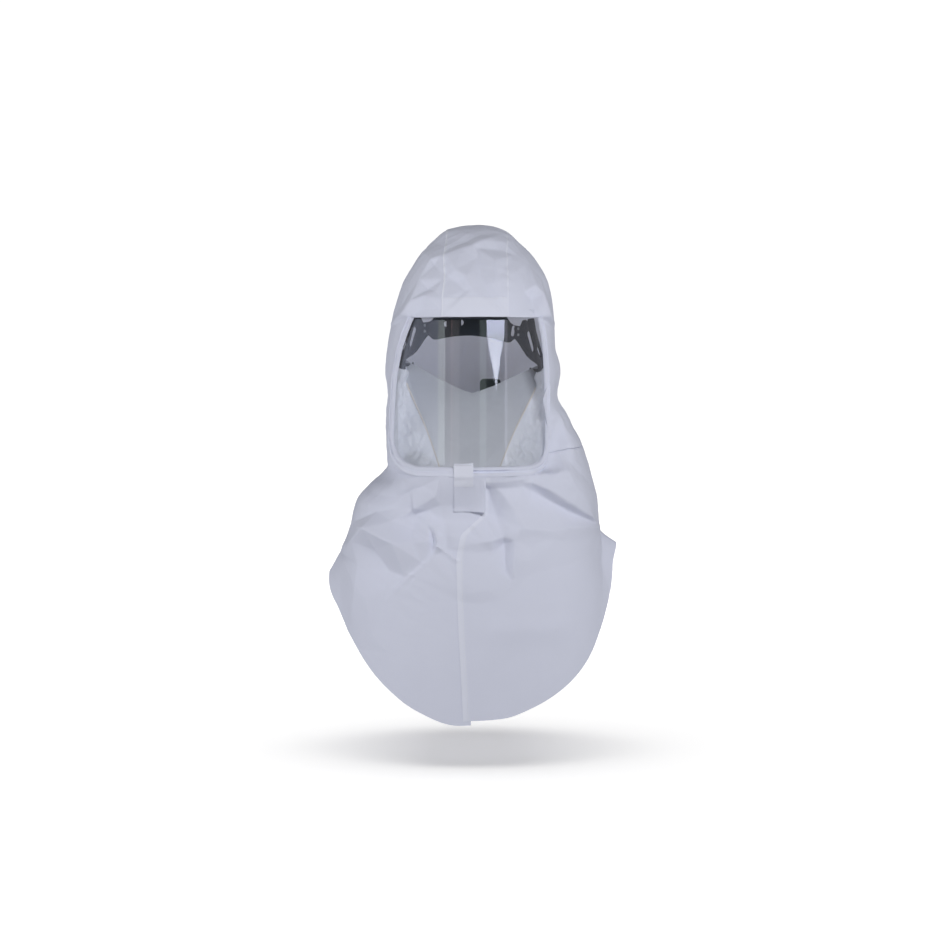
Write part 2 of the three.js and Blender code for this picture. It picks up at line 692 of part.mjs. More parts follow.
// Forehead band: its lower edge drops in a rounded lobe near each end
const BAND_END = 44;
const BAND_EDGES = table("turn low high", [
  [0, -16.5, 14],
  [9, -17.5, 14],
  [18, -19.5, 13],
  [26, -22, 11],
  [31, -23.3, 2],
  [34, -21, -2],
  [37, -17.5, -3],
  [BAND_END, -17.5, -4],
]);
const bandLow = through(BAND_EDGES, "turn", "low");
const bandHigh = through(BAND_EDGES, "turn", "high");
const RIVET_Z = [-6.8, -13.8];
const rivetPlace = (side, z) => ringAt(side * RIVET_TURN, z, 0);
const HALF_MOONS = table("x z bulge", [
  [-29, -4.5, -3],
  [-12, -2, 3],
]);
const HALF_MOON_TALL = 3.4;
const BAND_SLOT = { ends: [[49, -5], [47.5, -14]], wide: 3.6 };
function foreheadBand() {
  let body = solid(
    ringBand(-BAND_END, BAND_END, 30, (t) => bandLow(abs(t)), (t) => bandHigh(abs(t)), 0, BAND_T, 1),
  );
  const cut = (outline) => {
    body = body.subtract(solid(prism(outline, 0, 160)));
  };
  for (const { x, z, bulge } of HALF_MOONS) {
    const rows = [];
    for (let i = 0; i <= 6; i += 1) {
      const a = (PI * i) / 6;
      rows.push([x + bulge * sin(a), z - HALF_MOON_TALL * cos(a)]);
    }
    cut(bulge > 0 ? rows : rows.reverse());
  }
  cut(slot(BAND_SLOT.ends, BAND_SLOT.wide));
  for (const side of [-1, 1])
    for (const z of RIVET_Z) {
      const { p, n } = rivetPlace(side, z);
      body = body.subtract(solid(hole(RIVET_R + GAP, p, n)));
    }
  return meshOf(body);
}
// Arms: a wide plate down to the stud, with two lugs on top and two slots, in its own plane
const ARM_OUTLINE = [
  [-52, -4], [-52, -18], [-46, -24], [-40, -31], [-33, -38], [-25, -42.5], [-15, -46], [-5, -49.5],
  [0, -58], [5, -61.5], [12, -61], [16, -56], [15, -47],
  [9, -37], [-2, -26], [-9, -17], [-14.5, -9], [-18, 1], [-20, 6],
  [-30, 5], [-33, -1], [-36, 4], [-40, 3], [-44, -4],
];
const ARM_SLOTS = [
  { ends: [[-30.3, -12.5], [-21.5, -30]], wide: 8 },
  { ends: [[-8.5, -29], [-0.5, -37]], wide: 6.5 },
];
const mirrored = ({ points, triangles }) => ({
  points: points.map((p) => point(2 * HEAD_X - p.x, p.y, p.z)),
  triangles: triangles.map(([a, b, c]) => [a, c, b]),
});
const rolledZ = (x, z) => z - ROLL * (x - HEAD_X);
const rolled = ({ points, triangles }) => ({
  points: points.map((p) => point(p.x, p.y, rolledZ(p.x, p.z))),
  triangles,
});
const studPlace = () => ringAt(STUD_TURN, STUD_Z, 0);
function armRight() {
  let body = solid(ringBand(34, 86, 13, () => -66, () => 12, ARM_OUT, ARM_T, 1));
  body = body.intersect(solid(prism(ARM_OUTLINE, ARM_TURN, 160)));
  for (const { ends, wide } of ARM_SLOTS) body = body.subtract(solid(prism(slot(ends, wide), ARM_TURN, 160)));
  for (const z of RIVET_Z) {
    const { p, n } = rivetPlace(1, z);
    body = body.subtract(solid(hole(RIVET_R + GAP, p, n)));
  }
  const { p, n } = studPlace();
  return meshOf(body.subtract(solid(hole(STUD_R + GAP, p, n))));
}
const RIVET_IN = -BAND_T / 2 - GAP;
const RIVET_UP = ARM_OUT + ARM_T / 2 + GAP;
const RIVET = [
  [0, RIVET_IN - 0.8], [1.5, RIVET_IN - 0.8], [1.7, RIVET_IN], [RIVET_R, RIVET_IN],
  [RIVET_R, RIVET_UP], [1.7, RIVET_UP], [1.4, RIVET_UP + 0.7], [0, RIVET_UP + 0.9],
];
const SEAL_IN = 5; // the seal's corner, inside the bands' middle
const STUD = [
  [0, -SEAL_IN - 7], [3.4, -SEAL_IN - 7], [3.4, -SEAL_IN - 6], [STUD_R, -SEAL_IN - 5.8],
  [STUD_R, RIVET_UP], [3.6, RIVET_UP], [3.0, RIVET_UP + 1.6], [0, RIVET_UP + 2],
];
// Nape band and the housing behind it
const NAPE_END = 70;
const NAPE_LINE = table("turn z", [
  [NAPE_END, -54],
  [76, -56],
  [92, -67],
  [120, -86],
  [150, -94],
  [180, -96],
]);
const NAPE_TALL = 12;
const napeZ = through(NAPE_LINE, "turn", "z");
function napeBand() {
  const middle = (turn) => napeZ(turn > 180 ? 360 - turn : turn);
  const low = (turn) => middle(turn) - NAPE_TALL / 2;
  const high = (turn) => middle(turn) + NAPE_TALL / 2;
  let body = solid(ringBand(NAPE_END, 360 - NAPE_END, 28, low, high, 0, BAND_T, 1));
  const { p, n } = studPlace();
  const across = point(2 * HEAD_X - p.x, p.y, p.z);
  body = body.subtract(solid(hole(STUD_R + GAP, p, n)));
  return meshOf(body.subtract(solid(hole(STUD_R + GAP, across, point(-n.x, n.y, n.z)))));
}
const HOUSING = { x: 19, z: -90, wide: 26, tall: 35, deep: 11, round: 5, bevel: 1.5 };
function housing() {
  const { x, wide, tall, round, bevel, deep } = HOUSING;
  const rows = [];
  for (const [cx, cz, from] of [[1, 1, 0], [-1, 1, 1], [-1, -1, 2], [1, -1, 3]])
    for (let i = 0; i <= 4; i += 1) {
      const a = ((from + i / 4) * PI) / 2;
      rows.push(
        new THREE.Vector2(cx * (wide / 2 - round) + round * cos(a), cz * (tall / 2 - round) + round * sin(a)),
      );
    }
  const geometry = new THREE.ExtrudeGeometry(new THREE.Shape(rows), {
    depth: deep - 2 * bevel,
    bevelThickness: bevel,
    bevelSize: bevel,
    bevelOffset: -bevel,
    bevelSegments: 1,
  });
  geometry.rotateX(PI / 2);
  const nearest = (x - wide / 2 + bevel - HEAD_X) / RING_HALF;
  const seat = RING_Y + RING_LONG * Math.sqrt(1 - nearest * nearest) + BAND_T / 2 + GAP;
  geometry.translate(x, seat + deep - bevel, HOUSING.z);
  return meshFrom(geometry);
}

// Inner face seal: a centre panel with a V-shaped top edge and two side panels
const SEAL_T = 1.2;
const SEAL_OUT = VISOR_SET - FILM / 2 - GAP - SEAL_T / 2 - 0.4; // behind the visor
const SEAL_LOW = CHIN + 1.5;
const SEAL_FOOT = { left: -31, right: 38 }; // lower ends of the seams, along the visor's curve
const SEAL_V = { y: -74, z: -88 }; // lowest point of the top edge
const sealCorner = (side) => {
  const { p, n } = studPlace();
  const q = p.addScaledVector(n, -SEAL_IN);
  const x = side > 0 ? q.x : 2 * HEAD_X - q.x;
  return point(x, q.y, rolledZ(x, q.z));
};
const SEAL_HALF = 1.03; // half the centre panel's width, in shares of the stud spacing
function sealTop(u) {
  const c = sealCorner(u < 0 ? -1 : 1);
  const k = min(abs(u), 1.08);
  return point(
    lerp(sealCorner(-1).x, sealCorner(1).x, (u + 1) / 2),
    SEAL_V.y + (c.y - SEAL_V.y) * k ** 1.6,
    SEAL_V.z + (c.z - SEAL_V.z) * k ** 1.2,
  );
}
const sealFoot = (u) => visorAt(lerp(SEAL_FOOT.left, SEAL_FOOT.right, (u + 1) / 2), SEAL_LOW, SEAL_OUT).p;
function sealCentreAt(u, v) {
  const p = sealTop(u).lerp(sealFoot(u), v);
  const sag = 7 * sin(PI * clamp(v, 0, 1)) * max(1 - u * u, 0);
  return p.add(point(0, sag * 0.6, -sag * 0.8));
}
function surface(at, us, vs) {
  return us.map((u) =>
    vs.map((v) => {
      const n = at(u + 0.01, v).sub(at(u - 0.01, v)).cross(at(u, v + 0.01).sub(at(u, v - 0.01))).normalize();
      return { p: at(u, v), n: n.y > 0 ? n.negate() : n };
    }),
  );
}
const steps = (from, to, count) => Array.from({ length: count + 1 }, (_, i) => lerp(from, to, i / count));
function sealCentre() {
  let body = solid(sheet(surface(sealCentreAt, steps(-SEAL_HALF, SEAL_HALF, 12), steps(-0.05, 1, 5)), SEAL_T));
  for (const side of [-1, 1]) {
    const { n } = studPlace();
    body = body.subtract(solid(hole(STUD_R + GAP, sealCorner(side), point(side * n.x, n.y, n.z))));
  }
  return meshOf(body);
}
const SEAL_SIDE_TOP = 0.17; // the side panels start this far down the seam
const SEAL_SIDE_EDGE = table("share z", [
  [0, -66],
  [0.45, -125],
  [0.62, -147],
  [0.76, -158],
  [0.87, -162.5],
  [1, SEAL_LOW],
]);
const sealEdgeZ = through(SEAL_SIDE_EDGE, "share", "z");
function sealSideAt(side) {
  const foot = side < 0 ? SEAL_FOOT.left : SEAL_FOOT.right;
  return (u, v) => {
    const end = side * SEAL_HALF;
    const inner = sealTop(end).lerp(sealFoot(end), lerp(SEAL_SIDE_TOP, 1, v));
    inner.x += side * 1.6;
    const z = sealEdgeZ(v);
    const s = side < 0 ? windowLeft(z) : windowRight(z);
    const tail = ease((v - 0.8) / 0.2);
    const outer = visorAt(lerp(s, foot + side * 12, tail), max(z, SEAL_LOW), SEAL_OUT).p;
    const p = inner.lerp(outer, u);
    return p.add(point(0, 5 * sin(PI * u) * sin(PI * clamp(v, 0, 1)), 0));
  };
}
const sealSide = (side) => sheet(surface(sealSideAt(side), steps(0, 1, 5), steps(0, 1, 11)), SEAL_T);
function sealSeam(side) {
  const wide = 0.02;
  const at = (u, v) => sealCentreAt(side * (SEAL_HALF - 1.2 * wide - wide * u), v);
  const grid = surface(at, [-1, 0, 1], steps(0.2, 0.985, 10));
  return sheet(grid.map((row) => row.map(({ p, n }) => ({ p: p.addScaledVector(n, SEAL_T / 2 + GAP + 0.4), n }))), 0.8);
}

// Materials and the finished pieces
const COLOURS = {
  cloth: 0xd9dce8,
  clear: 0xdfe4ea,
  harness: 0x3a3d43,
  tan: 0xcfc8bd,
  tape: 0xe6e8f0,
};
const group = new THREE.Group();
group.name = "respirator_hood";
function add(name, { points, triangles }, colour, clear) {
  const geometry = new THREE.BufferGeometry();
  geometry.setAttribute(
    "position",
    new THREE.Float32BufferAttribute(points.flatMap((p) => [p.x - HEAD_X, p.y, p.z]), 3),
  );
  geometry.setIndex(triangles.flat());
  geometry.computeVertexNormals();
  const material = new THREE.MeshStandardMaterial({
    color: COLOURS[colour],
    roughness: clear ? 0.08 : 0.75,
    transparent: Boolean(clear),
    opacity: clear ? 0.3 : 1,
  });
  const mesh = new THREE.Mesh(geometry, material);
  mesh.name = name;
  group.add(mesh);
}
add("crown_panel", crownPanel(), "cloth");
add("side_panel_left", sidePanel(-1), "cloth");
add("side_panel_right", sidePanel(1), "cloth");
add("brow_hem", browHem(), "cloth");
add("bib_left", bibHalf(-1), "cloth");
add("bib_right", bibHalf(1), "cloth");
add("bib_back", bibBack(), "cloth");
add("neck_flap", flap(), "cloth");
add("chin_tab", tab(), "tape");
add("visor", visorSheet(), "clear", true);
add("visor_binding", bindingBar(), "cloth");
add("seal_centre", sealCentre(), "cloth");
add("seal_left", sealSide(-1), "cloth");
add("seal_right", sealSide(1), "cloth");
add("seal_seam_left", sealSeam(-1), "tan");
add("seal_seam_right", sealSeam(1), "tan");
add("forehead_band", rolled(foreheadBand()), "harness");
add("arm_right", rolled(armRight()), "harness");
add("arm_left", rolled(mirrored(armRight())), "harness");
add("nape_band", rolled(napeBand()), "harness");
add("nape_housing", housing(), "harness");
for (const [side, word] of [[-1, "left"], [1, "right"]]) {
  RIVET_Z.forEach((z, i) => {
    const { p, n } = rivetPlace(side, z);
    add(`rivet_${word}_${i === 0 ? "upper" : "lower"}`, rolled(turned(RIVET, p, n, 6)), "harness");
  });
  const { p, n } = studPlace();
  const stud = turned(STUD, p, n, 8);
  add(`stud_${word}`, rolled(side > 0 ? stud : mirrored(stud)), "harness");
}

export default group;
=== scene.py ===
import math

import bmesh
import bpy
import numpy as np
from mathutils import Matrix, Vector
from mathutils.geometry import delaunay_2d_cdt


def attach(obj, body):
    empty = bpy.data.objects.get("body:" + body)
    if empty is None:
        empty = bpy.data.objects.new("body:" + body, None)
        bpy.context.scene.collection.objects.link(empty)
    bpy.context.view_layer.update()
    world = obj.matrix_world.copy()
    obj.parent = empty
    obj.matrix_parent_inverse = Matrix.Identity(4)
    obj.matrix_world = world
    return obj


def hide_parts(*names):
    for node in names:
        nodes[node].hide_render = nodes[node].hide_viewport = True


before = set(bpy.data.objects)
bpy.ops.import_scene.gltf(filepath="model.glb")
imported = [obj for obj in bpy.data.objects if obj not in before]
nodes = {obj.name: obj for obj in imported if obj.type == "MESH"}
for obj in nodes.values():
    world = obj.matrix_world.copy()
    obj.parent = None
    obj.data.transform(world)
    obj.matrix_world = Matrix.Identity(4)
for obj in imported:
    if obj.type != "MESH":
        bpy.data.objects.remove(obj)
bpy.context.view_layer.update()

# Driving sizes
CLOTH = 0.6  # thickness of the hood's cloth
FILM = 0.6  # thickness of the visor and of the brow hem
BIB_T = 0.35  # thickness of the front bib's cloth
TOP = 114  # top of the crown
RING_X = -4  # middle of the headband ring, which is the part's own middle
CROWN_HALF = 38  # half the crown panel's width
BROW = 5  # the hood's edge above the window
HEM_TALL = 23  # brow hem
CHIN = -166  # lower edge of the window
NAPE = -165  # neck seam at the back
BACK_SPLIT = -25  # below this the crown panel and the side panels meet in upright seams
VISOR_RADIUS = 106  # the visor's curve, seen from above
VISOR_SET = -3.8  # the visor's middle behind the cloth's
BIND_SIDE = 5  # width of the binding at the sides of the window
BIND_LOW = 9  # width of the binding along the chin
BIND_EASE = 0.8  # the line that the cloth is drawn to lies this far outside the binding
REACH = 55  # how far from the window the cloth is drawn to the visor's curve
LAP = 9  # how far the left half of the bib runs under the right half
LAP_DROP = 0.1  # the left half lies this much lower under the lap
LAP_RISE = 0.25  # the right half lies this much higher over it
STRIP_RISE = 0.35  # rise of the front strip's edge
FLAP = {"left": -24, "right": 12, "low": -217}
FLAP_T = 0.3  # thickness of the neck flap and of the chin tab
TAB = {"left": -24, "right": -2, "low": -187}
TAB_CREST = 2.5  # the tab's rise over the binding
RING_HALF = 84  # half the headband ring's width
RING_LONG = 94  # half the headband ring's length
RING_Y = -4  # middle of the headband ring, front to back
STUD_TURN = 74  # degrees from the front
STUD_Z = -55.5
RIVET_TURN = 38  # degrees from the front
ROLL = 0.04  # the harness sits this much lower for each millimetre to the right
NECK_START = -152  # where the neck seam meets the binding
SIDE_TURN = math.radians(95)  # where the front and the back of the bib meet
FLOOR_Z = -0.513  # metres
TINY = 1e-6


def table(names, rows):
    return [dict(zip(names.split(), row)) for row in rows]


# Level sections of hood and bib: reach to each side at a height, and how square the section is
SECTIONS = table("z left right front back square", [
    (114, 0, 0, -8, 8, 2.0),
    (106.6, 35, 36, 32, 50, 2.0),
    (92, 52, 53, 60, 72, 2.05),
    (70.6, 69, 73, 88, 93, 2.1),
    (42, 86, 88, 112, 110, 2.15),
    (5, 97, 94, 128, 119, 2.2),
    (-30, 104, 95, 136, 122, 2.25),
    (-59, 106.5, 101, 142, 124, 2.25),
    (-88, 102, 97, 147, 124, 2.25),
    (-117, 105, 111, 150, 121, 2.2),
    (-145, 104, 126, 151, 117, 2.2),
    (-170, 104, 135, 149, 114, 2.2),
    (-181, 111, 138, 146, 114, 2.2),
    (-196, 127, 142, 143, 116, 2.2),
    (-214, 142, 145, 142, 120, 2.25),
    (-246, 149, 146, 144, 127, 2.3),
    (-275, 152, 152, 147, 132, 2.35),
    (-330, 163, 163, 150, 138, 2.4),
    (-480, 165, 165, 152, 142, 2.4),
])
VISOR = table("z front middle", [(BROW, -127, 0.5), (CHIN, -158, -9)])
WINDOW = table("z left right", [
    (5, -81, 81),
    (-20, -94, 91),
    (-45, -103, 97),
    (-80, -108, 103),
    (-131, -107.5, 109),
    (-145, -102.5, 110),
    (-155, -93, 106),
    (-162, -79, 99),
    (-166, -63, 82),
])
NECK_RIGHT = table("turn z", [(36, -152), (60, -148), (90, -147), (120, -156), (165, NAPE)])
NECK_LEFT = table("turn z", [(-165, NAPE), (-120, -172), (-92, -176), (-82, -166), (-72, -152)])
HEM_LEFT = table("turn z flare", [
    (-95, -262, 2),
    (-88, -303, 16),
    (-72, -336, 5),
    (-60, -366, 0),
    (-48, -394, 0),
    (-35, -421, 0),
    (-20, -447, 0),
    (-4, -463, 0),
    (4, -461, 0),
])
HEM_RIGHT = table("turn z flare", [
    (-8, -459, 0),
    (8, -455, 0),
    (20, -443, 0),
    (35, -422, 0),
    (48, -397, 0),
    (60, -365, 0),
    (72, -322, 4),
    (87, -269, 18),
    (95, -256, 2),
])
HEM_BACK = table("turn z flare", [
    (95, -258, 2),
    (105, -296, 6),
    (125, -360, 0),
    (155, -412, 0),
    (180, -424, 0),
    (205, -412, 0),
    (235, -360, 0),
    (255, -300, 6),
    (265, -264, 2),
])
FRONT_EDGE = table("z x", [
    (-480, -13),
    (-460, -13.7),
    (-340, -19.4),
    (-306, -20.5),
    (-272, -21),
    (-255, -18.3),
    (-245, -16),
    (-234, -5.7),
    (-218, 9),
    (-176, 11),
])
# Soft folds seen from the front: two ends with their rise, the width on each side, and sharpness
FOLDS = table("x0 z0 rise0 x1 z1 rise1 left right sharp", [
    (23, -353, 2.0, 91, -351, 2.5, 16, 18, 1.7),
    (-42, -257, 2.2, -21, -273, 2.4, 1.8, 2.4, 1.2),
    (-92, -297, 0.2, -58, -277, 1.2, 2, 3, 1.2),
    (-77, -290, 0.8, -69, -290, 0.8, 1.6, 2, 1.2),
    (-94, -309, 0.8, -87, -305, 0.8, 1.6, 2, 1.2),
    (-68, -290, -0.9, -82, -307, -0.4, 2, 3, 1.2),
    (15, -231, -1.0, 24, -246, -0.7, 1.5, 2, 1.2),
    (-5, -236, -1.6, 0, -244, -1.0, 2, 3, 1.2),
    (-33, 87, 0.9, -10, 101, 0.6, 2, 3, 1.2),
    (-31, 97, 0.7, -14, 104, 0.5, 2, 2.5, 1.2),
    (94, -112, 3, 108, -142, 3, 9, 9, 1.4),
])
# Creases between flat facets of cloth: x, z and rise along each line
CREASES = {
    "neck hollow left": [
        (-135, -197, -2), (-115, -200, -4), (-94, -201, -6),
        (-78, -194, -5), (-63, -189, -3), (-48, -193, -1),
    ],
    "left slope": [(-73, -217, -3), (-97, -216, -4), (-118, -221, -3), (-143, -236, -1)],
    "left long crease": [(-45, -199, 1), (-70, -215, 0), (-95, -230, 2), (-119, -241, 12), (-140, -258, 5)],
    "diamond": [
        (-119, -241, 12), (-103, -249, 12), (-87, -256, 12),
        (-72, -240, -3), (-70, -222, -5), (-95, -230, 2),
    ],
    "diamond ledge": [(-87, -256, 12), (-69, -253, 4), (-52, -251, 4)],
    "below diamond": [
        (-119, -241, 12), (-116, -263, 0), (-102, -286, -4),
        (-81, -293, -2), (-63, -279, -1),
    ],
    "hook crest": [
        (-52, -228, 3), (-45, -237, 6), (-42, -247, 7.5), (-42, -258, 6), (-47, -268, 3),
        (-56, -279, 1), (-74, -291, 0),
    ],
    "hook foot": [
        (-54, -233, 2), (-49, -240, 1), (-47, -249, 0), (-48, -259, 0), (-53, -267, 0.5),
        (-61, -276, 0),
    ],
    "beside hook": [(-34, -229, 1), (-33, -244, 2), (-32, -260, 1.5)],
    "left upright": [
        (-102, -286, -4), (-104, -307, -3), (-108, -324, -2),
        (-102, -381, -0.5), (-102, -433, 0),
    ],
    "left corner": [(-158, -275, 1), (-135, -309, 5), (-124, -321, 3), (-118, -364, 1)],
    "left corner top": [(-135, -284, 2), (-124, -321, 3)],
    "chin hollow": [(14, -188, -1.5), (24, -191, -2.5), (41, -191, -2), (57, -189, -1)],
    "ray valley": [(14, -192, -4), (18, -200, -5), (26, -223, -4), (33, -246, 2)],
    "ray crest": [(32, -197, -1), (44, -216, 5), (52, -237, 8), (63, -246, 5)],
    "flap corner": [(15, -220, -3), (1, -238, 1)],
    "ledge": [(3, -253, 4), (17, -251, 6), (33, -246, 2), (52, -237, 8)],
    "under ledge": [(3, -264, 1), (19, -262, 1), (34, -253, -3), (36, -284, -2.5)],
    "slant": [(34, -253, -3), (11, -276, 2), (-11, -301, 3)],
    "trough crest": [(52, -237, 8), (45, -251, 5), (45, -272, 4.5), (44, -291, 2.5)],
    "trough end": [(29, -286, 0.5), (42, -294, 0)],
    "rising line": [(45, -293, 1), (74, -263, 3), (97, -249, 4)],
    "trough back": [(63, -259, 3), (62, -290, 0)],
    "overhang": [
        (54, -183, 0), (63, -184, 2.5), (81, -192, 5),
        (109, -212, 6), (133, -230, 4.5), (143, -239, 2),
    ],
    "under overhang": [(57, -189, -1), (80, -201, -3), (115, -222, -1.5), (133, -232, 0.5)],
    "right level": [(63, -246, 5), (84, -241, 5), (103, -239, 5), (126, -240, 4.5), (144, -244, 3)],
    "right neck line": [(63, -178, 1), (88, -185, 4), (115, -198, 6), (120, -200, 5.5)],
    "right shoulder": [(120, -200, 5.5), (129, -215, 4), (138, -194, 0)],
    "under right level": [
        (80, -251, 3), (103, -253, 2.5), (124, -258, 1),
        (141, -272, -1), (155, -290, -1),
    ],
    "right corner": [(144, -245, 3), (159, -263, 4)],
    "front fold": [(-19, -306, 2), (-6, -310, 2.5), (17, -307, 2), (29, -301, 1)],
    "under front fold": [(-18, -319, 0), (6, -322, 0), (29, -318, 0)],
    "below long crease": [(-39, -209, -1), (-54, -217, -2), (-70, -222, -5)],
    "calm chest": [(-149, -381, 0), (-86, -393, 0), (-17, -370, 0), (52, -387, 0), (132, -381, 0)],
    "calm border": [
        (-201, -158, 0), (-201, -502, 0), (201, -502, 0), (201, -135, 0), (93, -144, 0), (84, -167, 0),
        (69, -178, 0),
    ],
    "under binding": [
        (69, -178, 0), (34, -183, 0), (13, -183, 0), (0, -181, 0), (-40, -177, 0), (-86, -177, 0),
        (-100, -165, 0),
    ],
    "crown fold": [(-33, 76, 2.6), (-17, 81, 3), (-3, 85, 3), (8, 91, 2.6), (17, 95, 2), (26, 99, 0.7)],
    "above crown fold": [(-30, 85, -1), (-11, 92, -1), (6, 100, 0)],
    "crown valley": [(3, 84, 0), (29, 84, -1.6), (46, 79, -1.8), (63, 68, -1.2), (77, 51, 0)],
    "crown right": [(22, 91, 1.5), (34, 91, 0.5)],
    "brow dent": [(-32, 53, -2), (-22, 47, -3), (-11, 35, -1)],
    "beside brow dent": [(-22, 58, 2), (-10, 50, 1.7), (-3, 36, 1)],
    "left temple": [(-37, 75, 2), (-48, 69, 3), (-63, 47, 2), (-56, 38, -2.5), (-46, 35, 0)],
    "left temple valley": [(-48, 66, -0.7), (-37, 50, -2)],
    "left brow": [(-39, 26, 0.5), (-56, 28, 3), (-71, 21, 4.5), (-83, 5, 3.5)],
    "under left brow": [(-40, 14, -0.5), (-63, 15, -2), (-74, 5, -1.5)],
    "right temple": [(68, 40, 3), (76, 28, 5), (83, 5, 4.5)],
    "right temple valley": [(58, 35, -1.5), (68, 27, -4), (73, 6, -2.5)],
    "crown hollow": [(3, 74, -1), (10, 43, -2)],
    "crown swell": [(23, 69, 2), (24, 43, 1.5)],
    "crown border": [
        (-104, -9, 0), (-109, 120, 0), (115, 120, 0), (97, -9, 0), (38, 1, 0), (-40, 4, 0),
        (-104, -9, 0),
    ],
}


# Numbers and lines
def lerp(a, b, t):
    return a + (b - a) * t


def ease(t):
    t = np.clip(t, 0, 1)
    return t * t * (3 - 2 * t)


def power(v, e):
    return np.sign(v) * np.abs(v) ** e


def unit(v):
    return v / np.maximum(np.linalg.norm(v, axis=-1, keepdims=True), 1e-9)


def bell(away, wide):
    return np.exp(-((away / wide) ** 2))


def run_of(x, y):
    """Distance along a flat line from its first point."""
    return np.concatenate([[0], np.cumsum(np.hypot(np.diff(x), np.diff(y)))])


MM = 0.001


def in_metres(points):
    """Points of the cloth, in millimetres, as metres in the part's frame."""
    return (points - [RING_X, 0, 0]) * MM


def through(rows, key, value):
    """A smooth line through a table's points, without overshoot."""
    xs, ys = np.array(sorted((row[key], row[value]) for row in rows), float).T
    step = np.diff(xs)
    rise = np.diff(ys) / step
    slope = np.concatenate([rise[:1], np.zeros(len(xs) - 2), rise[-1:]])
    before = 2 * step[1:] + step[:-1]
    after = step[1:] + 2 * step[:-1]
    same = rise[:-1] * rise[1:] > 0
    safe_a = np.where(same, rise[:-1], 1)
    safe_b = np.where(same, rise[1:], 1)
    slope[1:-1] = np.where(same, (before + after) / (before / safe_a + after / safe_b), 0)

    def at(x):
        x = np.clip(x, xs[0], xs[-1])
        i = np.clip(np.searchsorted(xs, x, side="right") - 1, 0, len(step) - 1)
        t = (x - xs[i]) / step[i]
        near = (1 + 2 * t) * (1 - t) ** 2 * ys[i] + t * (1 - t) ** 2 * step[i] * slope[i]
        far = t * t * (3 - 2 * t) * ys[i + 1] + t * t * (t - 1) * step[i] * slope[i + 1]
        return near + far

    return at


HASH = np.array([374761393, 668265263, 974634777])
HASH_SEED = 144269
HASH_MIX = 1274126177
HASH_BITS = 0xFFFFFFFF
NOISE_SHIFT = 17.31
NOISE_GAIN = 1.6


def noise(p, size, seed):
    """Smooth gradient noise of the points p, about -1 to 1, with lumps of one size."""
    q = p / size + seed * NOISE_SHIFT
    cell = np.floor(q).astype(np.int64)
    f = q - cell
    w = f * f * f * (f * (f * 6 - 15) + 10)
    total = np.zeros(p.shape[:-1])
    for corner in np.ndindex(2, 2, 2):
        c = cell + np.array(corner)
        h = ((c * HASH).sum(axis=-1) + seed * HASH_SEED) & HASH_BITS
        h = ((h ^ (h >> 13)) * HASH_MIX) & HASH_BITS
        h = h ^ (h >> 16)
        turn = (h & 1023) / 1023 * 2 * np.pi
        tilt = ((h >> 10) & 1023) / 511.5 - 1
        flat = np.sqrt(np.maximum(1 - tilt * tilt, 0))
        away = f - np.array(corner)
        level = away[..., 0] * np.cos(turn) + away[..., 1] * np.sin(turn)
        share = np.prod(np.where(np.array(corner) == 1, w, 1 - w), axis=-1)
        total += (level * flat + away[..., 2] * tilt) * share
    return total * NOISE_GAIN


# Cloth and visor surfaces
DEEP = [{**row, "depth": math.sqrt(TOP - row["z"])} for row in SECTIONS]
SECTION_LINES = [through(DEEP, "depth", name) for name in ("left", "right", "front", "back", "square")]


def section(z):
    depth = np.sqrt(np.maximum(TOP - z, 0))
    left, right, front, back, square = (f(depth) for f in SECTION_LINES)
    return (right - left) / 2, (right + left) / 2, (back - front) / 2, (back + front) / 2, square


def ring(angle, z):
    x, half, y, deep, square = section(z)
    e = 2 / square
    px = x + half * power(np.sin(angle), e)
    py = y - deep * power(np.cos(angle), e)
    return np.stack([px, py, z + 0 * px], -1)


def angle_at(x, z, behind=False):
    middle, half, _, _, square = section(z)
    share = np.clip((x - middle) / np.maximum(half, TINY), -1, 1)
    a = np.arcsin(power(share, square / 2))
    return np.where(behind, np.where(a >= 0, np.pi - a, -np.pi - a), a)


def visor_part(z, name):
    return lerp(VISOR[0][name], VISOR[1][name], (BROW - z) / (BROW - CHIN))


def visor_x(s, z):
    return visor_part(z, "middle") + VISOR_RADIUS * np.sin(s / VISOR_RADIUS)


def visor_y(x, z):
    share = np.clip((x - visor_part(z, "middle")) / VISOR_RADIUS, -0.99, 0.99)
    return visor_part(z, "front") + VISOR_RADIUS * (1 - np.sqrt(1 - share * share))


def visor_point(s, z):
    x = visor_x(s, z)
    return np.stack([x, visor_y(x, z), z + 0 * x], -1)


SLOPE_STEP = 0.2  # for the visor's slope


def visor_at(s, z, out):
    """A point of the visor at a distance s round it and a height z, moved out from its face."""
    along = visor_point(s + SLOPE_STEP, z) - visor_point(s - SLOPE_STEP, z)
    up = visor_point(s, z + SLOPE_STEP) - visor_point(s, z - SLOPE_STEP)
    n = unit(np.cross(along, up))
    return visor_point(s, z) + n * np.asarray(out)[..., None]


# Window edge, even along its length, from the brow down the left side, along the chin and up the right side
window_left = through(WINDOW, "z", "left")
window_right = through(WINDOW, "z", "right")
EDGE_STEP = 1.5
EDGE_SMOOTH = 12  # rounds of smoothing
BROW_SQUARE = 12  # over this height below the brow, the binding grows straight out to the side


